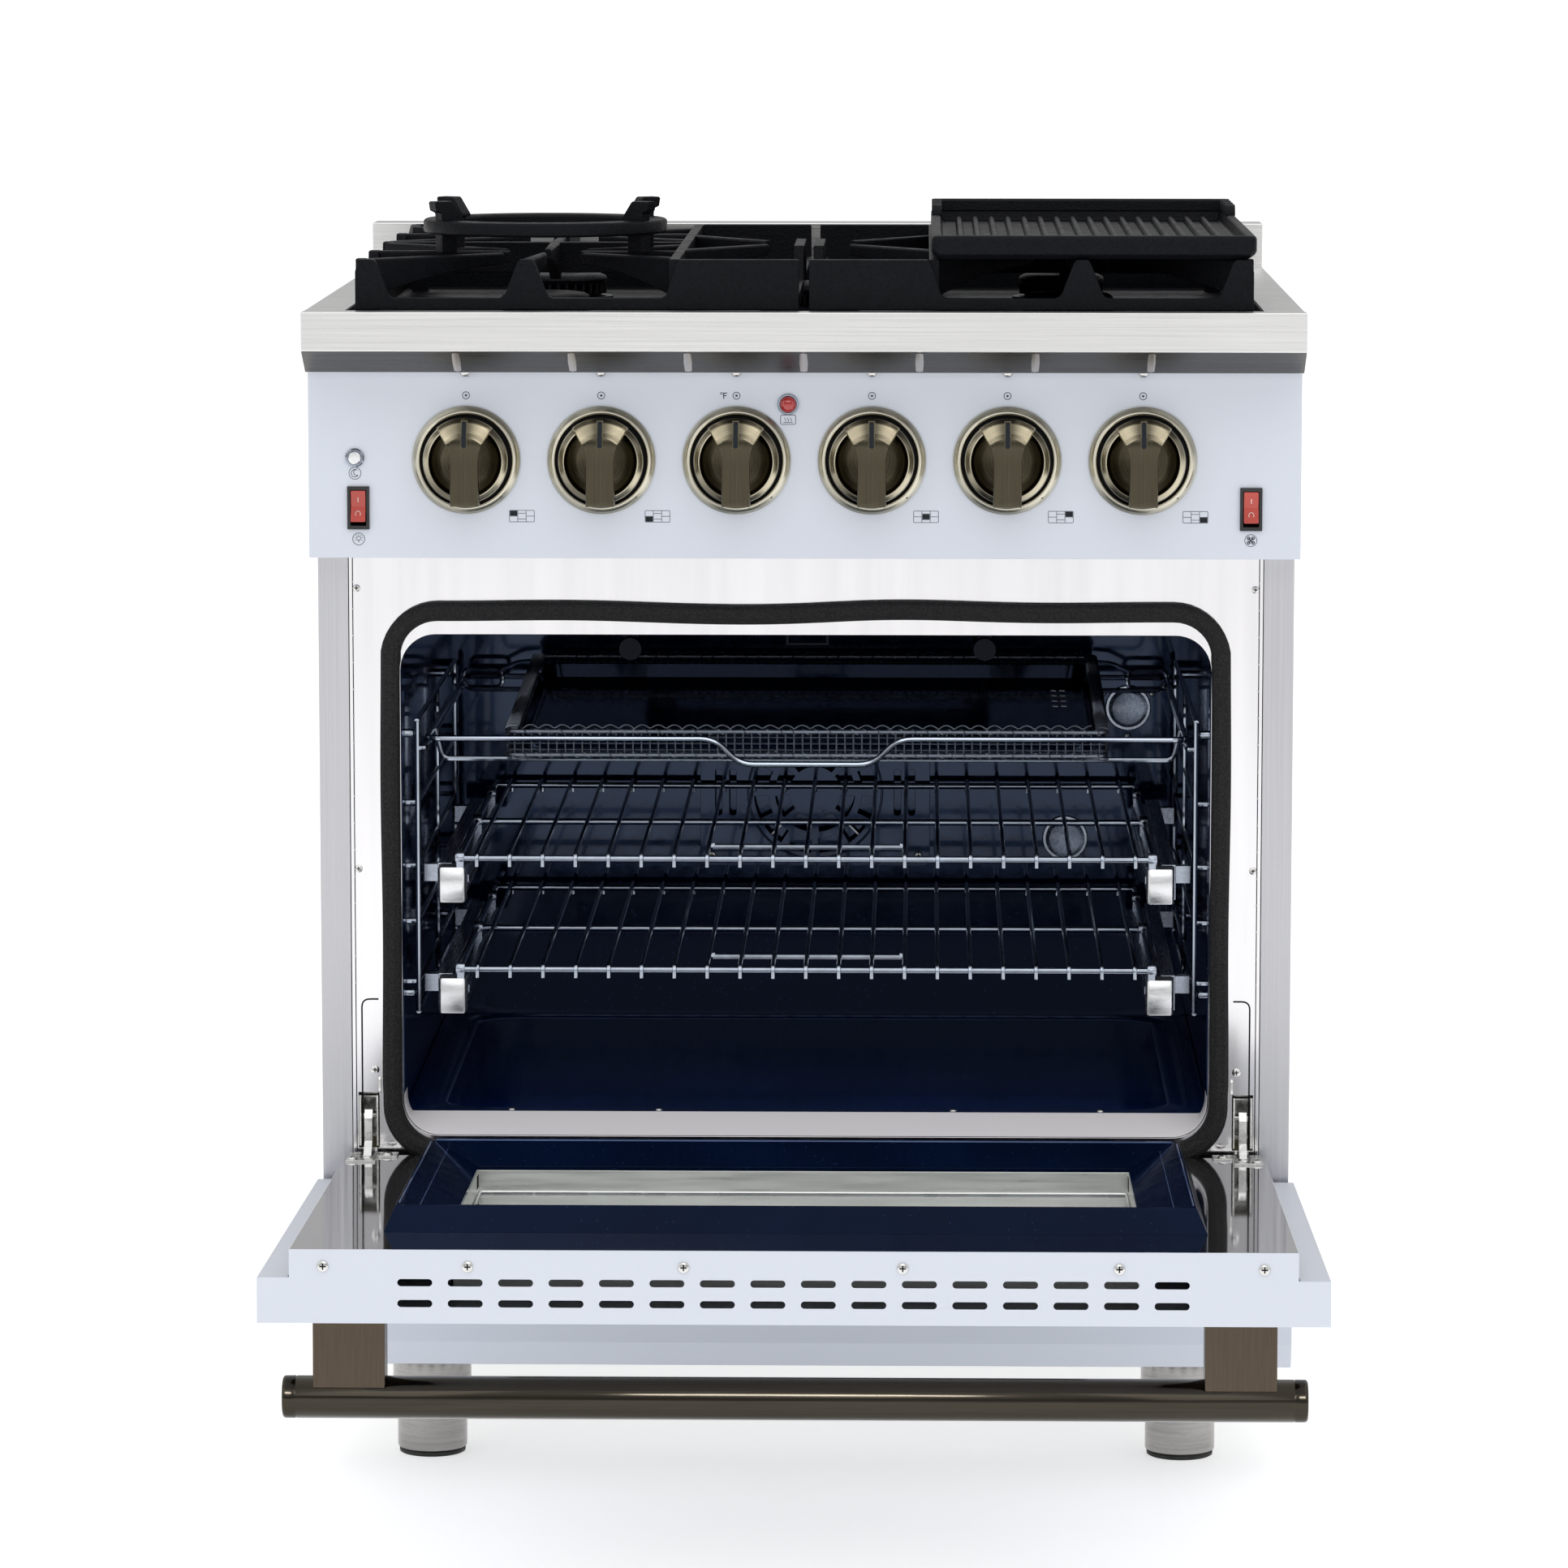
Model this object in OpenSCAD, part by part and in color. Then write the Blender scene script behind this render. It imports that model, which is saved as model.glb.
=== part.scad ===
// Freestanding gas range, 30 inch class, with its oven door open.
// Millimetres, +Z up, +Y towards the rear, origin on the floor under the middle of the box.
// Every module is drawn with Y = 0 at the oven's front frame; range_frame() shifts it.

/* [Cabinet] */
// Width over the side panels
cabinet_w = 757; // [750:1:760]
// Depth from the oven's front frame to the back panel
cabinet_d = 600; // [590:1:640]
// Height of the cooktop above the floor
cooktop_h = 910; // [908:1:916]
// Height of the underside of the cabinet above the floor
plinth_h = 87; // [80:1:95]
// Thickness of the folded sheet metal
sheet = 1.2; // [1:0.1:1.5]

/* [Fascia and trim] */
// Width of the white control fascia
fascia_w = 760; // [758:1:764]
// Height of the control fascia
fascia_h = 143; // [140:1:145]
// Distance that the fascia stands in front of the oven
fascia_out = 56; // [54:1:58]
// Width of the stainless bullnose
bullnose_w = 762; // [760:1:766]
// Distance that the bullnose stands in front of the oven
bullnose_out = 100; // [95:1:105]
// Height of the backguard above the cooktop
backguard_h = 37; // [20:1:60]
// Depth of the backguard
backguard_d = 45; // [40:1:50]
// Height of the top edge of the kick panel
kick_top = 186; // [180:1:188]
// Distance that the kick panel stands in front of the oven
kick_out = 58; // [54:1:60]

/* [Oven] */
// Width of the oven mouth
mouth_w = 630; // [620:1:632]
// Height of the lower edge of the oven mouth above the floor
mouth_bottom = 259; // [258:1:262]
// Height of the oven mouth
mouth_h = 395; // [390:1:397]
// Depth from the front frame to the back wall of the cavity
cavity_d = 500; // [495:1:505]
// Height of the wires of the lower rack
lower_rack_z = 386.5; // [384:0.5:390]
// Height of the wires of the upper rack
upper_rack_z = 474.5; // [472:0.5:478]
// Height of the carrier frame of the mesh basket
carrier_z = 569; // [566:1:572]
// Height of the axis of the convection fan
fan_z = 468; // [462:1:474]

/* [Door] */
// Width of the outer skin of the door
door_w = 764; // [760:1:766]
// Thickness of the door from its skin to its inner liner
door_t = 53; // [52:1:54]
// Angle at which the door stands open
door_open = 87.5; // [0:0.5:90]
// Diameter of the handle bar
handle_d = 31; // [26:1:34]
// Length of the handle bar
handle_w = 739; // [700:1:750]

/* [Controls] */
// Distance between two neighbouring knobs
knob_pitch = 103.5; // [100:0.5:106]
// Height of the knob axes above the floor
knob_z = 794.5; // [790:0.5:797]
// Diameter of a knob
knob_d = 67.5; // [60:0.5:68]
// Outer diameter of a knob bezel
bezel_d = 83; // [80:1:86]

/* [Cooktop] */
// Height of the grates above the cooktop
grate_h = 38.5; // [34:0.5:40]
// Width of one grate
grate_w = 338; // [334:1:340]
// Depth of the grates, front to rear
grate_d = 584; // [570:1:590]
// Height of the griddle body
griddle_h = 18; // [16:1:20]
// Outer diameter of the wok ring
wok_d = 190; // [180:1:196]

/* [Hidden] */
$fn = 48;

// Overall stations along Y, from the front frame
side_x = cabinet_w / 2;
rear_y = cabinet_d + 10;
hinge_y = -19;
door_gap = 11.5;
door_front = -door_gap - door_t;
fascia_z = cooktop_h - 48 - fascia_h;
door_top = fascia_z - 4;
hinge_z = 238.6;
door_bottom = hinge_z - 12;
door_reach = (door_top - hinge_z) * sin(door_open) - hinge_y + (hinge_y - door_front) * cos(door_open);
face_y = (door_reach - rear_y) / 2;

// Sheet metal heights and the half width of the front frame
cabinet_top = cooktop_h - 32;
fascia_top = cooktop_h - 48;
frame_x = 354.5;
frame_top = 745;
seam = 0.5;
front_sheet = 1.5;

// Oven mouth and cavity
mouth_x = mouth_w / 2;
mouth_top = mouth_bottom + mouth_h;
mouth_r = 28;
cavity_x = mouth_x + 2;
cavity_front = 25;
cavity_bottom = 204;
cavity_top = mouth_top + 3;
cavity_r = 20;
floor_z = 274;
insulation_t = 34;
gasket_t = 11;
gasket_w = 15.5;
gasket_x = 332;

// Glides, ladders and racks
glide_in = 267;
glide_out = 290.5;
glide_h = 28;
glide_drop = 20.5;
rack_front = 28;
rack_rear = 475;
rack_mid = 245;
rack_wire_pitch = 25.8;
rack_wires = 21;
wire = 5;
ladder_x = 305;
rung_z = [376, 424, 468, 518, 561];

// Door parts
liner_x = 359;
skin_d = 32.7;
window_x = 250;
window_z = [316, 586];
plug_x = 298;
plug_z = [272, 632];
plug_h = 18.5;
plug_slope = 8;
hinge_x = 342;
pin_r = 4;
running_gap = 0.05;
claw_t = 6;
slot_rows = [14.4, 29.4];
slot_count = 16;
slot_pitch = 35.9;
slot_size = [24.9, 5.3];
handle_out = 64.5;
handle_from_top = 65;
bracket_x = 321;
bracket_w = 52;

// Controls
knob_x = [for (i = [0 : 5]) (i - 2.5) * knob_pitch];
stem_r = 4;
button_at = [-344.3, 795.9];
lamp_at = [-12.3, 837.4];
rocker_x = 341.8;
rocker_z = 757.5;
rocker_tilt = 8;

// Burners, and the recess of the cooktop
burner_at = [[-204, 65], [-204, 345], [0, 205], [204, 65], [204, 345]];
recess_x = 349;
recess_y = [-78, 545];
recess_h = 18;
grate_x = 3.8;
grate_front = -72;
grate_beam = 103;

// ---------------------------------------------------------------- helpers

module range_frame() {
    translate([0, face_y, 0]) children();
}

// Turns a part drawn on the closed door to the angle at which the door stands.
module on_door() {
    range_frame()
    translate([0, hinge_y, hinge_z])
    rotate([door_open, 0, 0])
    translate([0, -hinge_y, -hinge_z])
    children();
}

module both_sides() {
    children();
    mirror([1, 0, 0]) children();
}

// A box between two corners.
module block(low, high) {
    translate(low) cube(high - low);
}

// Extrudes an outline drawn in X and Z from one Y to another.
module along_y(y0, y1) {
    translate([0, y1, 0]) rotate([90, 0, 0]) linear_extrude(y1 - y0) children();
}

// Extrudes an outline drawn in Y and Z from one X to another.
module along_x(x0, x1) {
    translate([x0, 0, 0]) rotate([90, 0, 90]) linear_extrude(x1 - x0) children();
}

module rod_x(x0, x1, y, z, r) {
    translate([x0, y, z]) rotate([0, 90, 0]) cylinder(h = x1 - x0, r = r);
}

module rod_y(y0, y1, x, z, r) {
    translate([x, y1, z]) rotate([90, 0, 0]) cylinder(h = y1 - y0, r = r);
}

module rod_z(z0, z1, x, y, r) {
    translate([x, y, z0]) cylinder(h = z1 - z0, r = r);
}

// A rectangle with round corners, from one corner to the other.
module round_rect(low, high, r) {
    translate([low[0] + r, low[1]]) square([high[0] - low[0] - 2 * r, high[1] - low[1]]);
    translate([low[0], low[1] + r]) square([high[0] - low[0], high[1] - low[1] - 2 * r]);
    for (x = [low[0] + r, high[0] - r], z = [low[1] + r, high[1] - r])
        translate([x, z]) circle(r);
}

// ---------------------------------------------------------------- cabinet

module side_panels() {
    color("silver") range_frame() both_sides() {
        block([side_x - sheet, 0, plinth_h], [side_x, cabinet_d, cabinet_top]);
        block([frame_x + seam, 0, plinth_h], [side_x, sheet, frame_top]);
    }
}

module back_panel() {
    louvre = [70, 5];
    color("darkgray") range_frame() difference() {
        block([sheet - side_x, cabinet_d - sheet, plinth_h], [side_x - sheet, cabinet_d, cabinet_top]);
        for (column = [-2 : 2], row = [0 : 7])
            translate([column * 120 - louvre[0] / 2, cabinet_d - 10, 640 + row * 20])
                cube([louvre[0], 20, louvre[1]]);
        rod_y(cabinet_d - 10, cabinet_d + 10, inlet_x, knob_z, 14);
    }
}

module base_pan() {
    rim = 34;
    low = [-370, 24, plinth_h];
    high = [370, cabinet_d - 8, plinth_h + rim];
    color("darkgray") range_frame() difference() {
        block(low, high);
        block(low + [sheet, sheet, sheet], high + [-sheet, -sheet, 1]);
    }
}

module kick_panel() {
    half = fascia_w / 2 - 1;
    crease_z = plinth_h + 19.5;
    setback = 8;
    color("ghostwhite") range_frame() difference() {
        along_x(-half, half) polygon([[0, kick_top], [-kick_out, kick_top], [-kick_out, crease_z],
                                      [setback - kick_out, plinth_h], [0, plinth_h]]);
        along_x(sheet - half, half - sheet)
            polygon([[1, kick_top - sheet], [sheet - kick_out, kick_top - sheet],
                     [sheet - kick_out, crease_z + 0.3], [setback + sheet - kick_out, plinth_h - 1],
                     [1, plinth_h - 1]]);
    }
}

foot_at = [[-296, 30], [296, 30], [-296, 545], [296, 545]];
foot_r = 27.5;
sleeve_r = 31;
sleeve_bottom = 42;

module leg_sleeves() {
    wall = 2.8;
    color("silver") range_frame() for (at = foot_at) translate([at[0], at[1], 0]) difference() {
        union() {
            translate([0, 0, sleeve_bottom]) cylinder(h = 5, r1 = foot_r + 1.5, r2 = sleeve_r);
            translate([0, 0, sleeve_bottom + 5]) cylinder(h = plinth_h - sleeve_bottom - 5, r = sleeve_r);
        }
        translate([0, 0, sleeve_bottom - 1]) cylinder(h = 40, r = sleeve_r - wall);
    }
}

module levelling_feet() {
    pad_h = 4;
    color("gray") range_frame() for (at = foot_at) {
        rod_z(0, pad_h, at[0], at[1], foot_r - 1.5);
        rod_z(pad_h, sleeve_bottom + 30, at[0], at[1], foot_r);
    }
}

// ---------------------------------------------------------------- front trim

module rocker_opening(x, size, y0, y1) {
    block([x - size[0] / 2, y0, rocker_z - size[1] / 2], [x + size[0] / 2, y1, rocker_z + size[1] / 2]);
}

module control_fascia() {
    half = fascia_w / 2;
    color("ghostwhite") range_frame() difference() {
        block([-half, -fascia_out, fascia_z], [half, 0, fascia_top]);
        block([front_sheet - half, front_sheet - fascia_out, fascia_z + front_sheet],
              [half - front_sheet, 1, fascia_top - front_sheet]);
        for (x = knob_x) rod_y(-fascia_out - 1, 3 - fascia_out, x, knob_z, 10);
        rod_y(-fascia_out - 1, 3 - fascia_out, lamp_at[0], lamp_at[1], 6.5);
        rod_y(-fascia_out - 1, 3 - fascia_out, button_at[0], button_at[1], 6.2);
        for (x = [-rocker_x, rocker_x]) rocker_opening(x, [14, 30], -fascia_out - 1, 3 - fascia_out);
    }
}

module bullnose() {
    half = bullnose_w / 2;
    lip_y = -66;
    face_low = cooktop_h - 29.6;
    color("gainsboro") range_frame() difference() {
        along_x(-half, half)
            polygon([[recess_y[0] - 4, cooktop_h], [-bullnose_out, cooktop_h], [-bullnose_out, face_low],
                     [lip_y, fascia_top], [-54, fascia_top], [recess_y[0] + 24, cabinet_top],
                     [recess_y[0] - 4, cabinet_top]]);
        along_x(front_sheet - half, half - front_sheet)
            polygon([[recess_y[0] - 3, cooktop_h - front_sheet],
                     [front_sheet - bullnose_out, cooktop_h - front_sheet],
                     [front_sheet - bullnose_out, face_low + 1], [lip_y + 0.5, fascia_top + front_sheet],
                     [-54.5, fascia_top + front_sheet], [recess_y[0] + 22, cabinet_top + 1],
                     [recess_y[0] - 3, cabinet_top + 1]]);
    }
}

module backguard() {
    half = fascia_w / 2;
    low = [-half, rear_y - backguard_d, cooktop_h];
    high = [half, rear_y, cooktop_h + backguard_h];
    color("gainsboro") range_frame() {
        difference() {
            block(low, high);
            block(low + [front_sheet, front_sheet, -1], high - [front_sheet, front_sheet, front_sheet]);
        }
        block([-half, rear_y - front_sheet, cabinet_top], [half, rear_y, cooktop_h]);
    }
}

module cooktop_tray() {
    half = fascia_w / 2;
    front = recess_y[0] - 3.9;
    rear = rear_y - front_sheet;
    recess_z = cooktop_h - recess_h;
    color("gainsboro") range_frame() difference() {
        union() {
            difference() {
                block([-half, front, cabinet_top + 1], [half, rear, cooktop_h]);
                block([sheet - half, front - 1, cabinet_top], [half - sheet, rear - sheet, cooktop_h - sheet]);
            }
            block([-recess_x - sheet, recess_y[0] - sheet, recess_z - sheet],
                  [recess_x + sheet, recess_y[1] + sheet, cooktop_h - sheet / 2]);
        }
        block([-recess_x, recess_y[0], recess_z], [recess_x, recess_y[1], cooktop_h + 1]);
        for (at = burner_at) rod_z(recess_z - 5, recess_z + 5, at[0], at[1], 20);
    }
}

module trim_screws() {
    color("silver") range_frame() {
        for (x = knob_x) rod_z(fascia_top - 3.4, fascia_top, x, -61, 4.2);
        for (x = [-287, 0, 287]) rod_z(fascia_z - 3.4, fascia_z, x, -6, 4);
        for (x = [-frame_x + 6, frame_x - 6], z = [470, 690]) rod_y(-2, 0, x, z, 3);
    }
}

// ---------------------------------------------------------------- oven

module mouth_outline(grow) {
    round_rect([-mouth_x - grow, mouth_bottom - grow], [mouth_x + grow, mouth_top + grow], mouth_r + grow);
}

module front_frame() {
    apron = 190;
    slot_x = 8;
    slot_z = [249, 293];
    color("whitesmoke") range_frame() difference() {
        union() {
            block([-frame_x, 0, apron], [frame_x, front_sheet, frame_top]);
            along_y(front_sheet / 2, cavity_front) mouth_outline(front_sheet);
        }
        along_y(-1, cavity_front + 1) mouth_outline(0);
        both_sides() block([hinge_x - slot_x, -1, slot_z[0]], [hinge_x + slot_x, 3, slot_z[1]]);
    }
}

module door_gasket() {
    low = mouth_bottom - 20;
    high = mouth_top + 26.3;
    color("black") range_frame() along_y(-gasket_t, 0) difference() {
        round_rect([-gasket_x, low], [gasket_x, high], 45);
        round_rect([-gasket_x + gasket_w, low + gasket_w], [gasket_x - gasket_w, high - gasket_w],
                   45 - gasket_w);
    }
}

lamp_holes = [[266, 539], [213, 427]];
lamp_r = 14;
fan_shaft_hole = 8;

module oven_liner() {
    wall = 1.2;
    back = cavity_d + wall;
    color("midnightblue") range_frame() difference() {
        along_y(cavity_front, back)
            round_rect([-cavity_x - wall, cavity_bottom - wall], [cavity_x + wall, cavity_top + wall],
                       cavity_r + wall);
        along_y(cavity_front - 1, cavity_d)
            round_rect([-cavity_x, cavity_bottom], [cavity_x, cavity_top], cavity_r);
        rod_y(cavity_d - 1, back + 1, 0, fan_z, fan_shaft_hole);
        for (at = lamp_holes) rod_y(cavity_d - 1, back + 1, at[0], at[1], lamp_r + 0.3);
    }
}

module oven_floor() {
    pocket = [[-250, 62], [250, 450]];
    deep = 10;
    low_y = cavity_front + 2;
    color("midnightblue") range_frame() difference() {
        union() {
            block([-cavity_x + 0.5, low_y, floor_z - sheet], [cavity_x - 0.5, cavity_d - 0.5, floor_z]);
            block([pocket[0][0] - sheet, pocket[0][1] - sheet, floor_z - deep - sheet],
                  [pocket[1][0] + sheet, pocket[1][1] + sheet, floor_z - sheet / 2]);
        }
        block([pocket[0][0], pocket[0][1], floor_z - deep], [pocket[1][0], pocket[1][1], floor_z + 1]);
    }
}

module insulation() {
    wall = 1.2;
    inner_x = cavity_x + wall;
    back = cavity_d + wall;
    color("khaki") range_frame() difference() {
        block([-inner_x - insulation_t, cavity_front + 30, cavity_bottom - wall - insulation_t],
              [inner_x + insulation_t, back + insulation_t, cavity_top + wall + insulation_t]);
        block([-inner_x, cavity_front + 29, cavity_bottom - wall], [inner_x, back, cavity_top + wall]);
        rod_y(back - 1, back + insulation_t + 1, 0, fan_z, fan_shaft_hole);
        for (at = lamp_holes) rod_y(back - 1, back + insulation_t + 1, at[0], at[1], lamp_r + 0.3);
    }
}

// One side's wires of the ladder that carries the racks.
module ladder_wires() {
    half = wire / 2 - 0.5;
    low = 352;
    high = 582;
    for (y = [34, 250, 466])
        block([ladder_x - half, y - half, low], [ladder_x + half, y + half, high]);
    for (z = rung_z)
        block([ladder_x - half, 34, z - half], [ladder_x + half, 466, z + half]);
    for (z = rung_z, y = [34, 466])
        block([ladder_x, y - half, z - half], [cavity_x - 0.1, y + half, z + half]);
    for (y = [34, 466])
        block([296, y - half, carrier_z - 8 - half], [ladder_x, y + half, carrier_z - 8 + half]);
    block([296, 34, carrier_z - 8 - half], [300, 466, carrier_z - 8 + half]);
}

module rack_ladders() {
    color("silver") range_frame() both_sides() ladder_wires();
}

// The fixed channel of one glide, its middle at the given height, with its two hooks.
module channel(z) {
    t = 1.5;
    half = glide_h / 2;
    difference() {
        block([279, 48, z - half], [glide_out, 440, z + half]);
        block([278, 47, z - half + t], [glide_out - t, 441, z + half - t]);
    }
    for (y = [70, 418]) block([glide_out, y, z - 4], [ladder_x - wire / 2 + 0.5, y + 12, z + 10]);
}

module glide_channels() {
    color("silver") range_frame() both_sides() {
        channel(lower_rack_z - glide_drop);
        channel(upper_rack_z - glide_drop);
    }
}

// Half of a rack and its runner; the grid and the glides are symmetrical.
module rack(z) {
    runner_z = z - glide_drop;
    half = glide_h / 2;
    bar = 3;
    thin = 2;
    grid_x = rack_wire_pitch * (rack_wires - 1) / 2;
    color("silver") range_frame() {
        for (y = [rack_front, rack_mid, rack_rear])
            block([-glide_in - 3, y - bar, z - bar], [glide_in + 3, y + bar, z + bar]);
        for (i = [0 : rack_wires - 1])
            translate([i * rack_wire_pitch - grid_x - thin, rack_front - 2, z + 1])
                cube([2 * thin, rack_rear - rack_front + 4, 2 * thin + 1]);
        block([-75, rack_front + 64, z - bar], [75, rack_front + 70, z + bar]);
        both_sides() {
            for (y = [rack_front, rack_mid, 420])
                block([glide_in + 1, y - bar, runner_z + 10], [glide_in + 6, y + bar, z + bar]);
            block([glide_in + 1, rack_front - bar, z - bar], [glide_in + 6, rack_rear + bar, z + bar]);
            block([glide_in, 44, runner_z - 11], [glide_out - 3, 434, runner_z + 11]);
            block([glide_in, rack_front - 6, runner_z - half], [glide_out - 1.5, 45, runner_z + half]);
        }
    }
}

module upper_rack() {
    rack(upper_rack_z);
}

module lower_rack() {
    rack(lower_rack_z);
}

basket_x = 237;
basket_y = [62, 450];
basket_h = 22;
basket_tilt = 2.5;

// Places a part of the basket, which rises a little towards the rear.
module basket_seat() {
    range_frame() translate([0, basket_y[0], carrier_z - 19]) rotate([basket_tilt, 0, 0]) children();
}

module carrier_frame() {
    r = 2.5;
    front = 31;
    rear = 462;
    side = 297;
    dip = 20;
    rise = (basket_y[1] - basket_y[0]) * tan(basket_tilt);
    color("silver") range_frame() {
        both_sides() {
            block([68, front - r, carrier_z - r], [side + r, front + r, carrier_z + r]);
            block([52, front - r, carrier_z - dip - r], [70, front + r, carrier_z + r]);
            block([side - r, front, carrier_z - r], [side + r, rear, carrier_z + r]);
            for (y = [basket_y[0] + 30, basket_y[1] - 30])
                block([side - 12, y - r, carrier_z - 26], [side - r + 0.6, y + r, carrier_z + r]);
        }
        block([-54, front - r, carrier_z - dip - r], [54, front + r, carrier_z - dip + r]);
        block([-side, rear - r, carrier_z - r], [side, rear + r, carrier_z + r]);
        block([-side + 8, basket_y[0] + 30 - r, carrier_z - 26],
              [side - 8, basket_y[0] + 30 + r, carrier_z - 21]);
        block([-side + 8, basket_y[1] - 30 - r, carrier_z - 26],
              [side - 8, basket_y[1] - 30 + r, carrier_z - 22.5 + rise * 0.9]);
    }
}

module fry_basket() {
    deep = (basket_y[1] - basket_y[0]) / cos(basket_tilt);
    wall = 2;
    color("silver") basket_seat() difference() {
        block([-basket_x, 0, 0], [basket_x, deep, basket_h]);
        block([wall - basket_x, wall, wall], [basket_x - wall, deep - wall, basket_h + 1]);
    }
}

module basket_tray() {
    deep = (basket_y[1] - basket_y[0]) / cos(basket_tilt);
    edge = 9;
    wall = 1.5;
    floor_up = 2.2;
    color("midnightblue") basket_seat() difference() {
        block([edge - basket_x, edge, floor_up], [basket_x - edge, deep - edge, basket_h - 6]);
        block([edge + wall - basket_x, edge + wall, floor_up + wall],
              [basket_x - edge - wall, deep - edge - wall, basket_h]);
    }
}

fan_front = 482;

module fan_cover() {
    plate = [[-98, fan_z - 64], [98, fan_z + 64]];
    wall = 1.2;
    color("midnightblue") range_frame() difference() {
        block([plate[0][0], fan_front, plate[0][1]], [plate[1][0], cavity_d, plate[1][1]]);
        block([plate[0][0] + wall, fan_front + wall, plate[0][1] + wall],
              [plate[1][0] - wall, cavity_d + 1, plate[1][1] - wall]);
        for (turn = [0 : 45 : 315]) translate([0, 0, fan_z]) rotate([0, turn, 0])
            block([-7, fan_front - 1, 20], [7, fan_front + 3, 52]);
    }
}

module convection_fan() {
    color("lightgray") range_frame() {
        difference() {
            rod_y(fan_front + 6, cavity_d - 3, 0, fan_z, 16);
            rod_y(fan_front + 8, cavity_d - 2, 0, fan_z, 13);
        }
        for (turn = [0 : 45 : 315]) translate([0, 0, fan_z]) rotate([0, turn, 0])
            block([-0.6, fan_front + 6, 15], [0.6, cavity_d - 5, 54]);
        rod_y(fan_front + 7, cavity_d + 60, 0, fan_z, stem_r);
    }
}

module fan_motor() {
    front = cavity_d + 1.2 + insulation_t;
    color("dimgray") range_frame() difference() {
        rod_y(front, cabinet_d - 10, 0, fan_z, 34);
        rod_y(front - 1, front + 30, 0, fan_z, stem_r + running_gap);
    }
}

module oven_lamps() {
    color("white") range_frame() for (at = lamp_holes) {
        rod_y(cavity_d - 10, cavity_d, at[0], at[1], 18.5);
        rod_y(cavity_d, cavity_d + 34, at[0], at[1], lamp_r);
    }
}

module oven_burners() {
    tube = 9;
    bake_z = 236;
    broil_z = cavity_top - 24;
    color("gray") range_frame() {
        for (x = [-140, 140]) {
            rod_y(80, 440, x, bake_z, tube);
            rod_y(90, 430, x, broil_z, tube);
            block([x - 6, 100, cavity_bottom], [x + 6, 112, bake_z - tube + 1]);
            block([x - 6, 100, broil_z + tube - 1], [x + 6, 112, cavity_top]);
            block([x - 6, 400, broil_z + tube - 1], [x + 6, 412, cavity_top]);
            block([x - 6, 400, cavity_bottom], [x + 6, 412, bake_z - tube + 1]);
        }
        rod_x(-140, 140, 440, bake_z, tube);
        rod_x(-140, 140, 430, broil_z, tube);
    }
}

// ---------------------------------------------------------------- cooktop burners and gas

module burner_bases() {
    recess_z = cooktop_h - recess_h;
    color("darkgray") range_frame() for (at = burner_at) translate([at[0], at[1], recess_z]) {
        cylinder(h = 6, r = 40);
        translate([0, 0, 6]) cylinder(h = 12, r1 = 30, r2 = 34);
        translate([0, 0, -18]) cylinder(h = 18, r = 19);
    }
}

module burner_caps() {
    cap_z = cooktop_h - recess_h + 18;
    color("dimgray") range_frame() for (at = burner_at) translate([at[0], at[1], cap_z]) {
        cylinder(h = 4, r = 35);
        translate([0, 0, 4]) cylinder(h = 3, r1 = 35, r2 = 28);
    }
}

inlet_x = 345;
valve_front = -46;
valve_rear = -5;
rail = 22;

// The rail behind the valves, its pipe to the rear, and the threaded inlet at the pipe's end.
module gas_manifold() {
    pipe_r = 9;
    inlet_r = 10.5;
    inlet_end = cabinet_d + 9;
    inlet_h = 20;
    color("gray") range_frame() {
        block([-290, valve_rear, knob_z - rail / 2], [inlet_x + 11, valve_rear + rail, knob_z + rail / 2]);
        rod_y(valve_rear + rail - 1, inlet_end - inlet_h + 1, inlet_x, knob_z, pipe_r);
        rod_y(inlet_end - inlet_h, inlet_end, inlet_x, knob_z, inlet_r);
    }
}

module gas_valves() {
    color("goldenrod") range_frame() for (x = knob_x) difference() {
        union() {
            rod_y(valve_front, -30, x, knob_z, 9);
            block([x - 12, -30.5, knob_z - 16], [x + 12, valve_rear, knob_z + 16]);
        }
        rod_y(valve_front - 1, -18, x, knob_z, stem_r + running_gap);
    }
}

// ---------------------------------------------------------------- controls

module knob_bezels() {
    color("darkkhaki") range_frame() for (x = knob_x)
        translate([x, -fascia_out, knob_z]) rotate([90, 0, 0]) difference() {
            union() {
                cylinder(h = 2, r = bezel_d / 2);
                translate([0, 0, 2]) cylinder(h = 4, r1 = bezel_d / 2, r2 = knob_d / 2 + 3.5);
            }
            translate([0, 0, 1]) cylinder(h = 10, r = knob_d / 2 + 1.3);
            translate([0, 0, -1]) cylinder(h = 5, r = 10);
        }
}

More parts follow.
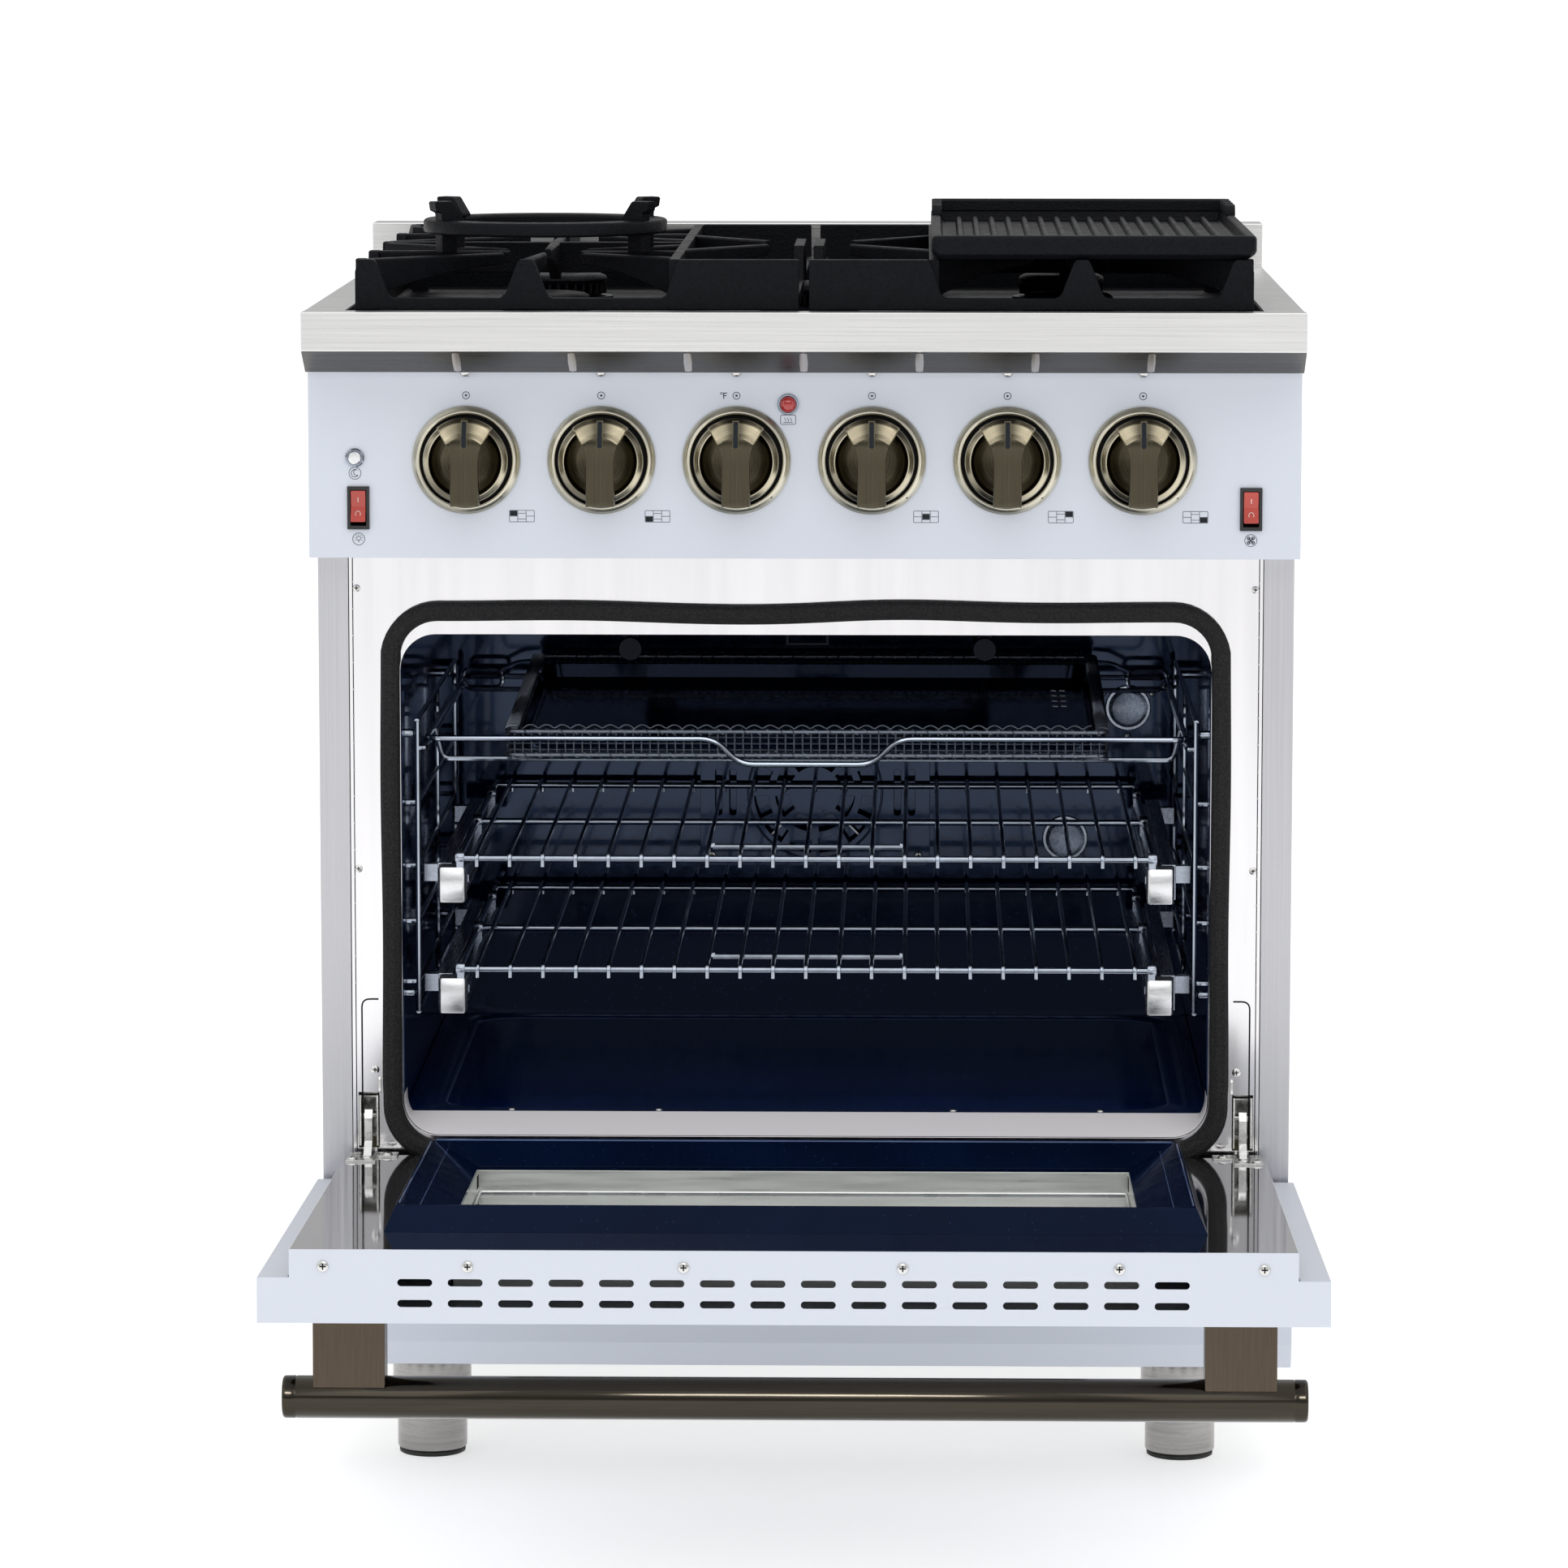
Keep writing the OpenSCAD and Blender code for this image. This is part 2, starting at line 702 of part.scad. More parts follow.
// A knob on its valve stem: a disc with a raised grip bar across it.
module knob(index) {
    disc = 15;
    bar_top = 30;
    bar_w = 22;
    start = 1.8;
    color("darkgoldenrod") range_frame() translate([knob_x[index], -fascia_out, knob_z]) rotate([90, 0, 0]) {
        difference() {
            union() {
                translate([0, 0, start]) cylinder(h = disc - 3, r = knob_d / 2);
                translate([0, 0, start + disc - 3]) cylinder(h = 3, r1 = knob_d / 2, r2 = knob_d / 2 - 3);
            }
            translate([0, 0, start + disc - 4]) for (side = [-1, 1]) intersection() {
                cylinder(h = 5, r = knob_d / 2 - 7);
                translate([side * 35 - 20, -40, 0]) cube([40, 80, 5]);
            }
            translate([0, 0, start - 1]) cylinder(h = 10, r = 15);
        }
        intersection() {
            translate([-bar_w / 2, -knob_d / 2, start + disc - 4])
                cube([bar_w, knob_d, bar_top - start - disc + 4]);
            cylinder(h = bar_top, r1 = knob_d / 2 + 2, r2 = knob_d / 2 - 3);
        }
        translate([0, 0, -valve_front - fascia_out - 22]) cylinder(h = 44, r = stem_r);
    }
}

module knob_left_rear() {
    knob(0);
}

module knob_left_front() {
    knob(1);
}

module knob_oven() {
    knob(2);
}

module knob_center() {
    knob(3);
}

module knob_right_rear() {
    knob(4);
}

module knob_right_front() {
    knob(5);
}

module indicator_lamp() {
    color("firebrick") range_frame() translate([lamp_at[0], -fascia_out, lamp_at[1]]) rotate([90, 0, 0]) {
        cylinder(h = 2.5, r = 8);
        translate([0, 0, -18]) cylinder(h = 18, r = 6.2);
        translate([0, 0, 2.5]) cylinder(h = 3.5, r1 = 6.2, r2 = 4);
    }
}

rocker_frame = [17, 33];
rocker_hole = [12, 27];
button_r = 5;

module switch_frames() {
    deep = 26;
    proud = 2.5;
    color("black") range_frame() {
        for (x = [-rocker_x, rocker_x]) difference() {
            union() {
                rocker_opening(x, rocker_frame, -fascia_out - proud, -fascia_out);
                rocker_opening(x, [13.6, 29.6], -fascia_out, deep - fascia_out);
            }
            rocker_opening(x, rocker_hole, -fascia_out - 5, deep - 4 - fascia_out);
        }
        translate([button_at[0], -fascia_out, button_at[1]]) rotate([90, 0, 0]) difference() {
            union() {
                cylinder(h = 1.6, r = 6.8);
                translate([0, 0, -18]) cylinder(h = 18, r = 6);
            }
            translate([0, 0, -14]) cylinder(h = 20, r = button_r + running_gap);
        }
    }
}

module push_button() {
    color("silver") range_frame() translate([button_at[0], -fascia_out, button_at[1]]) rotate([90, 0, 0]) {
        translate([0, 0, -9]) cylinder(h = 12.6, r = button_r);
        translate([0, 0, 3.6]) cylinder(h = 1, r1 = button_r, r2 = button_r - 1);
    }
}

// A rocker drawn level, then tipped about its pivot to its off side.
module rocker(x) {
    half = 12;
    pivot_y = 6 - fascia_out;
    color("firebrick") range_frame() translate([0, pivot_y, rocker_z]) rotate([-rocker_tilt, 0, 0])
        along_x(x - rocker_hole[0] / 2 + 0.3, x + rocker_hole[0] / 2 - 0.3)
            polygon([[-11.5, half], [-8.5, 0], [-11.5, -half], [-2, -half], [3, -4], [3, 4], [-2, half]]);
}

module lamp_rocker() {
    rocker(-rocker_x);
}

module fan_rocker() {
    rocker(rocker_x);
}

// ---------------------------------------------------------------- door

module vent_slot(x, y) {
    r = slot_size[1] / 2;
    run = slot_size[0] / 2 - r;
    block([x - run, y - r, door_top - 5], [x + run, y + r, door_top + 5]);
    for (end = [-run, run]) rod_z(door_top - 5, door_top + 5, x + end, y, r);
}

module door_skin() {
    half = door_w / 2;
    back = door_front + skin_d;
    color("ghostwhite") on_door() difference() {
        union() {
            block([-half, door_front, door_bottom], [half, back, door_top]);
            block([-liner_x, back - 1, door_top - sheet], [liner_x, -door_gap, door_top]);
        }
        block([sheet - half, door_front + sheet, door_bottom + sheet],
              [half - sheet, back - sheet, door_top - sheet]);
        block([-liner_x + 1, back - 3, door_bottom - 1], [liner_x - 1, back + 1, door_top - sheet]);
        along_y(door_front - 1, door_front + 3)
            round_rect([15 - window_x, window_z[0] + 15], [window_x - 15, window_z[1] - 15], 12);
        for (row = slot_rows, i = [0 : slot_count - 1])
            vent_slot((i - (slot_count - 1) / 2) * slot_pitch, door_front + row);
    }
}

// The clearance that the claws need in the door's own parts.
module claw_clearance(half_w) {
    both_sides() block([hinge_x - half_w, hinge_y - 14, door_bottom - 2], [hinge_x + half_w, -1, hinge_z + 26]);
}

module door_liner() {
    back = door_front + skin_d;
    low = door_bottom + 9.5;
    color("whitesmoke") on_door() difference() {
        block([-liner_x, back, low], [liner_x, -door_gap, door_top - sheet]);
        both_sides() block([hinge_x - 10, hinge_y - 13, low - 1], [hinge_x + 10, -door_gap - 1, low + 1.5]);
        block([1 - liner_x, back - 1, low + 1], [liner_x - 1, -door_gap - 1, door_top - sheet - 1]);
        block([-window_x - 1, back - 1, window_z[0] - 1], [window_x + 1, 0, window_z[1] + 1]);
        claw_clearance(5);
    }
}

// The raised window panel: it rises to a crest, then falls towards the glass.
module door_plug() {
    crest = plug_slope;
    thin = 0.2;
    edge = 3;
    color("midnightblue") on_door() difference() {
        hull() {
            block([-plug_x, -door_gap, plug_z[0]], [plug_x, thin - door_gap, plug_z[1]]);
            block([crest - plug_x, plug_h - door_gap - thin, plug_z[0] + crest],
                  [plug_x - crest, plug_h - door_gap, plug_z[1] - crest]);
        }
        hull() {
            block([-window_x, edge - door_gap, window_z[0]], [window_x, edge - door_gap + thin, window_z[1]]);
            block([crest + 4 - plug_x, plug_h - door_gap, plug_z[0] + crest + 4],
                  [plug_x - crest - 4, plug_h - door_gap + thin, plug_z[1] - crest - 4]);
        }
        block([-window_x, -door_gap - 1, window_z[0]], [window_x, 10, window_z[1]]);
    }
}

module window_trunk() {
    front = door_front + sheet + 4;
    color("lightgray") on_door() difference() {
        block([-window_x - 1, front, window_z[0] - 1], [window_x + 1, -door_gap, window_z[1] + 1]);
        block([-window_x, front - 1, window_z[0]], [window_x, 1, window_z[1]]);
    }
}

module inner_glass() {
    color("lightblue", 0.4) on_door()
        block([0.2 - window_x, -33.5, window_z[0] + 0.2], [window_x - 0.2, -29.5, window_z[1] - 0.2]);
}

module outer_glass() {
    color("darkslategray", 0.5) on_door()
        block([-window_x - 5, door_front + sheet, window_z[0] - 5],
              [window_x + 5, door_front + sheet + 4, window_z[1] + 5]);
}

handle_y = door_front - handle_out;
handle_z = door_top - handle_from_top;

module door_handle() {
    color("darkgoldenrod") on_door() rod_x(-handle_w / 2, handle_w / 2, handle_y, handle_z, handle_d / 2);
}

module handle_brackets() {
    tall = 26;
    color("darkgoldenrod") on_door() both_sides() difference() {
        block([bracket_x - bracket_w / 2, handle_y, handle_z - tall / 2],
              [bracket_x + bracket_w / 2, door_front, handle_z + tall / 2]);
        rod_x(bracket_x - 40, bracket_x + 40, handle_y, handle_z, handle_d / 2);
    }
}

// One hinge: two cheeks with the pivot pin between them, and a plate on the liner.
module hinge_channel() {
    cheek = 2;
    gap = 3.4;
    for (side = [-1, 1])
        block([hinge_x + side * (gap + cheek / 2) - cheek / 2, hinge_y - 12, door_bottom + 1.2],
              [hinge_x + side * (gap + cheek / 2) + cheek / 2, -door_gap - 1, hinge_z + 100]);
    block([hinge_x - gap - cheek, hinge_y - 12 - cheek, hinge_z + 16],
          [hinge_x + gap + cheek, hinge_y - 12, hinge_z + 100]);
    rod_x(hinge_x - gap - cheek, hinge_x + gap + cheek, hinge_y, hinge_z, pin_r);
    difference() {
        union() {
            block([hinge_x - 9, -door_gap, door_bottom + 2], [hinge_x + 14, 1.5 - door_gap, hinge_z + 38]);
            block([hinge_x - 24, -door_gap, door_bottom + 2], [hinge_x, 1.5 - door_gap, hinge_z + 12]);
        }
        block([hinge_x - 5, -door_gap - 1, door_bottom - 2], [hinge_x + 5, 0, hinge_z + 26]);
    }
}

module door_hinges() {
    color("silver") on_door() both_sides() hinge_channel();
}

module door_screws() {
    color("silver") on_door() {
        for (x = [-334.7, -231.7, -77.9, 77.9, 231.7, 334.7])
            rod_z(door_top, door_top + 1.8, x, -23.5, 4.2);
        both_sides() for (at = [[-16, 4], [9.5, 31]])
            rod_y(1.5 - door_gap, 3.8 - door_gap, hinge_x + at[0], hinge_z + at[1], 4);
    }
}

// The claw runs from the receiver's pin down to the pivot of the door.
module hinge_claws() {
    eye_r = 8;
    pivot = [hinge_y, hinge_z];
    color("silver") range_frame() both_sides() difference() {
        along_x(hinge_x - claw_t / 2, hinge_x + claw_t / 2) {
            translate(pivot) circle(eye_r);
            polygon([pivot + [-4, 6], pivot + [4, -7], [-3, 250], [-2.2, 262], [16, 266], [20, 272],
                     [20, 280], [-4, 280], [-9.3, 274], [-9.3, 256]]);
        }
        rod_x(hinge_x - 10, hinge_x + 10, hinge_y, hinge_z, pin_r + running_gap);
        rod_x(hinge_x - 10, hinge_x + 10, 11, 273, 3);
    }
}

module hinge_receivers() {
    cheek = 1.5;
    inner = 6;
    color("silver") range_frame() both_sides() {
        for (side = [-1, 1])
            block([hinge_x + side * (inner + cheek / 2) - cheek / 2, -3, 251],
                  [hinge_x + side * (inner + cheek / 2) + cheek / 2, 38, 291]);
        block([hinge_x - inner - cheek, 36.5, 251], [hinge_x + inner + cheek, 38, 291]);
        rod_x(hinge_x - inner, hinge_x + inner, 11, 273, 2.9);
    }
}

// ---------------------------------------------------------------- grates, griddle and wok ring

// A finger of a grate from one point to another, tapered in height and width towards its tip.
module finger(from, to) {
    root = [2, 9, grate_h - 8];
    tip = [2, 5, 9];
    run = norm(to - from);
    turn = atan2(to[1] - from[1], to[0] - from[0]);
    translate([from[0], from[1], cooktop_h]) rotate([0, 0, turn]) hull() {
        translate([0, -root[1] / 2, grate_h - root[2]]) cube(root);
        translate([run - tip[0], -tip[1] / 2, grate_h - tip[2]]) cube(tip);
    }
}

// The right grate: outer walls, a beam between the burner zone and the middle, and fingers.
module grate() {
    base = -recess_h;
    low = 10;
    wall = 8;
    x0 = grate_x;
    x1 = grate_x + grate_w;
    y0 = grate_front;
    y1 = grate_front + grate_d;
    burner_x = burner_at[3][0];
    middle_y = burner_at[2][1];
    translate([0, 0, cooktop_h]) {
        difference() {
            block([x0, y0, 0], [x1, y1, low]);
            block([x0 + wall, y0 + wall, -1], [x1 - wall, y1 - wall, low + 1]);
            block([x0 - 1, middle_y - 44, -1], [x0 + wall + 1, middle_y + 44, low + 1]);
        }
        block([x0, middle_y - 60, grate_h - 14], [x0 + wall, middle_y + 60, grate_h]);
        for (side = [-1, 1])
            block([x0, middle_y + side * 54 - 6, 0], [x0 + wall, middle_y + side * 54 + 6, grate_h]);
        for (x = [x0, x1 - 14], y = [y0, y1 - 14]) block([x, y, base], [x + 14, y + 14, 1]);
        block([x0, y0, 0], [grate_beam - wall, y0 + wall, grate_h]);
        block([x0, y1 - wall, 0], [grate_beam - wall, y1, grate_h]);
        for (x = [x1 - 14, burner_x + 2]) block([x, y0, 0], [x + 12, y0 + wall, grate_h]);
        block([grate_beam - wall, y0, low - 1], [grate_beam, y1, grate_h]);
        for (y = [burner_at[3][1], middle_y, burner_at[4][1]])
            block([x1 - wall, y - 10, 0], [x1, y + 10, grate_h]);
        block([x1 - wall, y0, 0], [x1, y0 + 24, grate_h]);
        block([x1 - wall, y1 - 24, 0], [x1, y1, grate_h]);
        block([grate_beam - 1, middle_y - 4, 14], [x1 - wall + 1, middle_y + 4, grate_h]);
    }
    for (y = [burner_at[3][1], burner_at[4][1]]) {
        finger([x1 - 4, y], [burner_x + 28, y]);
        finger([grate_beam - 4, y], [burner_x - 28, y]);
        for (diagonal = [-1, 1]) {
            finger([x1 - 6, y + diagonal * 126], [burner_x + 32, y + diagonal * 32]);
            finger([grate_beam - 4, y + diagonal * 100], [burner_x - 32, y + diagonal * 32]);
        }
    }
    finger([burner_x + 8, y0 + 4], [burner_x, 37]);
    finger([burner_x, middle_y], [burner_x, 93]);
    finger([burner_x, middle_y], [burner_x, 317]);
    finger([burner_x, y1 - 4], [burner_x, 373]);
    for (side = [-1, 1]) finger([grate_beam - 4, middle_y + side * 120], [34, middle_y + side * 30]);
}

module left_grate() {
    color("dimgray") range_frame() mirror([1, 0, 0]) grate();
}

module right_grate() {
    color("dimgray") range_frame() grate();
}

griddle_x = [97, 344];
griddle_y = [-72, 410];

module griddle() {
    rim = 9;
    deep = 10;
    top_z = cooktop_h + grate_h + 0.4 + griddle_h;
    rib_pitch = 13.4;
    rib_count = 16;
    mid = (griddle_x[0] + griddle_x[1]) / 2;
    color("dimgray") range_frame() {
        difference() {
            block([griddle_x[0], griddle_y[0], top_z - griddle_h], [griddle_x[1], griddle_y[1], top_z]);
            block([griddle_x[0] + rim, griddle_y[0] + rim, top_z - deep],
                  [griddle_x[1] - rim, griddle_y[1] - rim, top_z + 1]);
        }
        for (i = [0 : rib_count - 1]) translate([mid + (i - (rib_count - 1) / 2) * rib_pitch - 2.5, 0, 0])
            block([0, griddle_y[0] + 20, top_z - deep - 0.5], [5, griddle_y[1] - 24, top_z - deep + 4.5]);
        for (x = [griddle_x[0] + 4.5, griddle_x[1] - 4.5], i = [0 : 3])
            rod_x(x - 4, x + 4, griddle_y[1] - 20 - i * 34, top_z, 9);
    }
}

// A raised band on four legs; above the band each leg carries a stepped finger for the wok.
module wok_ring() {
    low = cooktop_h + grate_h + 0.4;
    band = [14, 26];
    outer = wok_d / 2;
    inner = outer - 18;
    leg = [inner + 2, outer - 2];
    tip = inner - 14;
    color("dimgray") range_frame() translate([burner_at[0][0], burner_at[0][1], low]) {
        translate([0, 0, band[0]]) difference() {
            cylinder(h = band[1] - band[0], r = outer);
            translate([0, 0, -1]) cylinder(h = band[1] - band[0] + 2, r = inner);
        }
        for (turn = [30, 150, 210, 330]) rotate([0, 0, turn]) rotate([90, 0, 0])
            translate([0, 0, -6]) linear_extrude(12)
                polygon([[leg[0], 0], [leg[1], 0], [leg[1], band[1] + 2], [leg[1] + 4, band[1] + 2],
                         [leg[1] + 4, band[1] + 5], [leg[1] - 9, band[1] + 5.5], [leg[1] - 11, band[1] + 10.3],
                         [tip + 6, band[1] + 10.3], [tip, band[1] + 4], [tip, band[1] + 1], [leg[0], band[1] + 1]]);
    }
}

side_panels();
back_panel();
base_pan();
kick_panel();
leg_sleeves();
levelling_feet();
control_fascia();
bullnose();
backguard();
cooktop_tray();
trim_screws();
front_frame();
oven_liner();
oven_floor();
insulation();
door_gasket();
hinge_receivers();
hinge_claws();
rack_ladders();
glide_channels();
fan_motor();
fan_cover();
oven_lamps();
oven_burners();
burner_bases();
burner_caps();
gas_manifold();
gas_valves();
knob_bezels();
indicator_lamp();
switch_frames();
door_skin();
door_liner();
door_plug();
window_trunk();
inner_glass();
outer_glass();
door_handle();
handle_brackets();
door_hinges();
door_screws();
knob_left_rear();
knob_left_front();
knob_oven();
knob_center();
knob_right_rear();
knob_right_front();
push_button();
lamp_rocker();
fan_rocker();
convection_fan();
upper_rack();
lower_rack();
carrier_frame();
fry_basket();
basket_tray();
left_grate();
right_grate();
griddle();
wok_ring();
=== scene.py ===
from math import copysign, cos, exp, hypot, pi, radians, sin

import bmesh
import bpy
from mathutils import Matrix, Vector


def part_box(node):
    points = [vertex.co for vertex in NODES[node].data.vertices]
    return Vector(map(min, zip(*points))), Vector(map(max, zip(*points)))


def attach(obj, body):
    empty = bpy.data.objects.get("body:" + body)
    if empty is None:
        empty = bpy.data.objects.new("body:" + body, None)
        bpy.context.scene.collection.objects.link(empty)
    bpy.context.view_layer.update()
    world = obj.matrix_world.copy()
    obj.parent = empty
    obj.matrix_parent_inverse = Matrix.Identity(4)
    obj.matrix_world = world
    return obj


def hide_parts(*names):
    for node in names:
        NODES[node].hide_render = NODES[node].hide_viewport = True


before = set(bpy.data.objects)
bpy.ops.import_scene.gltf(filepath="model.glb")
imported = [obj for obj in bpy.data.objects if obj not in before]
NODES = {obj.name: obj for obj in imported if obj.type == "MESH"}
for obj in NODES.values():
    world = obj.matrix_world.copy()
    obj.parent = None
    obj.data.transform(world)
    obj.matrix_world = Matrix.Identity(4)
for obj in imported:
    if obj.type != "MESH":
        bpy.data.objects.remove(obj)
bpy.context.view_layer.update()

# Pieces are drawn in millimetres with Y = 0 at the oven's front frame, then carried into the row frame in metres.
SCENE = bpy.context.scene
show = SCENE.collection.objects.link
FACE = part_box("front_frame")[0].y
MM = 0.001
HINGE = Vector((0, -19, 238.6))
DOOR_OPEN = radians(87.5)
TO_ROW = Matrix.Translation((0, FACE, 0)) @ Matrix.Scale(MM, 4)
TO_DOOR = TO_ROW @ Matrix.Translation(HINGE) @ Matrix.Rotation(DOOR_OPEN, 4, "X") @ Matrix.Translation(-HINGE)
TO_BASKET = TO_ROW @ Matrix.Translation((0, 62, 550)) @ Matrix.Rotation(radians(2.5), 4, "X")
SIDES = (-1, 1)
COOKTOP_Z, GRATE_H = 910.0, 38.5
FASCIA_Y = -56.0
HINGE_X, ROCKER_X, BUTTON_X, LAMP_X, FLANGE_X = 342, 341.8, -344.3, -12.3, 351.6
HANDLE_Y, HANDLE_Z = -129.0, 650.0
KNOB_X = [(i - 2.5) * 103.5 for i in range(6)]
KNOB_Z = 794.5
KNOBS = ["knob_left_rear", "knob_left_front", "knob_oven", "knob_center", "knob_right_rear", "knob_right_front"]
BURNERS = [(-204, 65), (-204, 345), (0, 205), (204, 65), (204, 345)]


# Materials

def tone(colour, share):
    return tuple(min(1.0, c * share) for c in colour)


def add_node(tree, kind, inputs=(), **props):
    """A node; each of its inputs gets a number, a colour or another node's output."""
    node = tree.nodes.new(kind)
    for key, value in props.items():
        setattr(node, key, value)
    for key in inputs:
        if isinstance(inputs[key], bpy.types.NodeSocket):
            tree.links.new(inputs[key], node.inputs[key])
        else:
            node.inputs[key].default_value = inputs[key]
    return node


class Shader:
    """A principled material whose inputs are fed by procedural nodes on object coordinates."""

    def __init__(self, **values):
        self.material = bpy.data.materials.new("finish")
        self.material.use_nodes = True
        self.material.node_tree.nodes.clear()
        self.bsdf = self.add("ShaderNodeBsdfPrincipled")
        self.add("ShaderNodeOutputMaterial", {0: self.bsdf.outputs[0]})
        for key, value in values.items():
            self.bsdf.inputs[key.replace("_", " ")].default_value = value
        self.place = self.add("ShaderNodeTexCoord").outputs["Object"]

    def add(self, kind, inputs=(), **props):
        return add_node(self.material.node_tree, kind, inputs, **props)

    def stretch(self, *scale):
        return self.add("ShaderNodeMapping", {"Vector": self.place, "Scale": scale}).outputs[0]

    def noise(self, scale, detail=3.0, rough=0.5, at=None):
        sockets = {"Vector": at or self.place, "Scale": scale, "Detail": detail, "Roughness": rough}
        return self.add("ShaderNodeTexNoise", sockets).outputs[0]

    def cells(self, scale, output="Distance"):
        return self.add("ShaderNodeTexVoronoi", {"Vector": self.place, "Scale": scale}).outputs[output]

    def math(self, kind, a, b=0.5):
        return self.add("ShaderNodeMath", {0: a, 1: b}, operation=kind).outputs[0]

    def span(self, value, low, high, start, end):
        return self.add("ShaderNodeMapRange", {0: value, 1: low, 2: high, 3: start, 4: end}).outputs[0]

    def ramp(self, value, *stops):
        node = self.add("ShaderNodeValToRGB", {0: value})
        for item, (position, colour) in zip(node.color_ramp.elements, stops):
            item.position = position
            item.color = (*colour, 1)
        return node.outputs[0]

    def mix(self, factor, a, b):
        return self.add("ShaderNodeMix", {0: factor, 6: a, 7: (*b, 1)}, data_type="RGBA").outputs[2]

    def set(self, name, output):
        self.material.node_tree.links.new(output, self.bsdf.inputs[name])
        return self

    def shade(self, value, colour, dark, bright, low=0.3, high=0.7):
        """The base colour, from a darker to a brighter share of one colour."""
        return self.set("Base Color", self.ramp(value, (low, tone(colour, dark)), (high, tone(colour, bright))))

    def polish(self, value, rough, least, most, low=0.3, high=0.7):
        """The roughness, between two shares of its middle value."""
        return self.set("Roughness", self.span(value, low, high, rough * least, rough * most))

    def bump(self, height, strength, distance=0.001):
        node = self.add("ShaderNodeBump", {"Strength": strength, "Distance": distance, "Height": height})
        return self.set("Normal", node.outputs[0])


def paint(colour, rough=0.33, coat=0.3, peel=0.006):
    s = Shader(Coat_Weight=coat, Coat_Roughness=0.08)
    cloud = s.noise(7, 3)
    s.shade(cloud, colour, 0.996, 1.003)
    s.polish(s.noise(40, 2), rough, 0.96, 1.04)
    return s.bump(s.noise(420, 2), peel, 0.0004).material


def brushed(colour, rough, grain, depth=0.05, contrast=0.12):
    s = Shader(Metallic=1.0)
    streak = s.noise(1, 3, 0.6, s.stretch(*grain))
    cloud = s.noise(5, 2)
    both = s.math("ADD", s.math("MULTIPLY", streak, 0.7), s.math("MULTIPLY", cloud, 0.3))
    s.shade(both, colour, 1 - contrast, 1 + contrast / 3, 0.35, 0.65)
    s.polish(streak, rough, 0.8, 1.25)
    return s.bump(streak, depth, 0.0005).material


def enamel(colour, speck, rough=0.1, scale=420, gloss=1.0):
    s = Shader(Coat_Weight=0.25 * gloss, Specular_IOR_Level=0.5 * gloss, Coat_Roughness=0.03,
               Coat_Tint=(0.5, 0.65, 1, 1), Specular_Tint=(0.35, 0.52, 0.9, 1))
    chance = s.math("GREATER_THAN", s.cells(scale, "Color"), 0.86)
    dot = s.math("LESS_THAN", s.cells(scale), 0.26)
    cloud = s.noise(9, 3)
    base = s.ramp(cloud, (0.3, tone(colour, 0.75)), (0.7, tone(colour, 1.25)))
    s.set("Base Color", s.mix(s.math("MULTIPLY", chance, dot), base, speck))
    s.polish(s.noise(60, 2), rough, 0.7, 1.5)
    return s.bump(s.noise(130, 2), 0.05, 0.0006).material


def cast(colour, rough=0.45):
    s = Shader(Specular_IOR_Level=0.08)
    grain = s.noise(650, 4, 0.7)
    pit = s.cells(480)
    s.shade(grain, colour, 0.6, 1.6)
    s.polish(s.noise(90, 3), rough, 0.8, 1.2)
    return s.bump(s.math("ADD", grain, pit), 0.35, 0.0007).material


def galvanised(colour, rough=0.3, scale=55):
    s = Shader(Metallic=1.0)
    flake = s.cells(scale, "Color")
    s.set("Base Color", s.ramp(flake, (0.1, tone(colour, 0.86)), (0.9, colour)))
    s.polish(flake, rough, 0.75, 1.3, 0.0, 1.0)
    return s.bump(s.noise(300, 2), 0.04, 0.0004).material


def concentric(colour, rough=0.24, highlight_lobes=2.0, highlight_turn=2.618, depth=0.3):
    """Turned metal: fine rings about the piece's own Y axis, with a painted highlight in the base colour that swings
    round with its angle.
    """
    s = Shader(Metallic=1.0)
    x, y, z = s.add("ShaderNodeSeparateXYZ", {0: s.place}).outputs
    radius = s.math("SQRT", s.math("ADD", s.math("MULTIPLY", x, x), s.math("MULTIPLY", z, z)))
    ring = s.noise(1500, 2, 0.6, s.add("ShaderNodeCombineXYZ", {0: radius}).outputs[0])
    # Painted highlight: the base colour brightens and darkens with the angle round the axis, standing in for a
    # sheen.
    painted_highlight = s.math("SINE", s.math("ADD", s.math("MULTIPLY", s.math("ARCTAN2", z, x), highlight_lobes), highlight_turn))
    both = s.math("ADD", s.math("MULTIPLY", ring, 1 - depth), s.span(painted_highlight, -1, 1, 0, depth))
    s.shade(both, colour, 1 - depth * 1.6, 1 + depth * 0.6, 0.3, 0.72)
    s.polish(ring, rough, 0.7, 1.3)
    s.bsdf.inputs["Anisotropic"].default_value = 0.75
    s.set("Tangent", s.add("ShaderNodeTangent", direction_type="RADIAL", axis="Y").outputs[0])
    return s.bump(ring, 0.08, 0.0003).material


def glass(tint, rough=0.02):
    s = Shader(Transmission_Weight=1.0, IOR=1.5)
    s.set("Base Color", s.ramp(s.noise(12, 2), (0.3, tone(tint, 0.97)), (0.7, tint)))
    s.polish(s.noise(30, 3), rough, 0.5, 1.6)
    return s.material


def plastic(colour, rough=0.3, grain=700, bump=0.08, **values):
    s = Shader(**values)
    s.shade(s.noise(25, 3), colour, 0.85, 1.15)
    s.polish(s.noise(120, 2), rough, 0.85, 1.2)
    return s.bump(s.noise(grain, 3), bump, 0.0004).material


def braid(colour):
    s = Shader(Sheen_Weight=0.04, Sheen_Roughness=0.4, Specular_IOR_Level=0.3)
    cross = s.noise(1, 1, 0.5, s.stretch(700, 300, 700))
    rib = s.cells(520)
    s.shade(cross, colour, 0.55, 1.7, 0.35, 0.65)
    s.set("Roughness", s.span(rib, 0.0, 0.6, 0.5, 0.8))
    return s.bump(s.math("ADD", cross, rib), 0.5, 0.0009).material


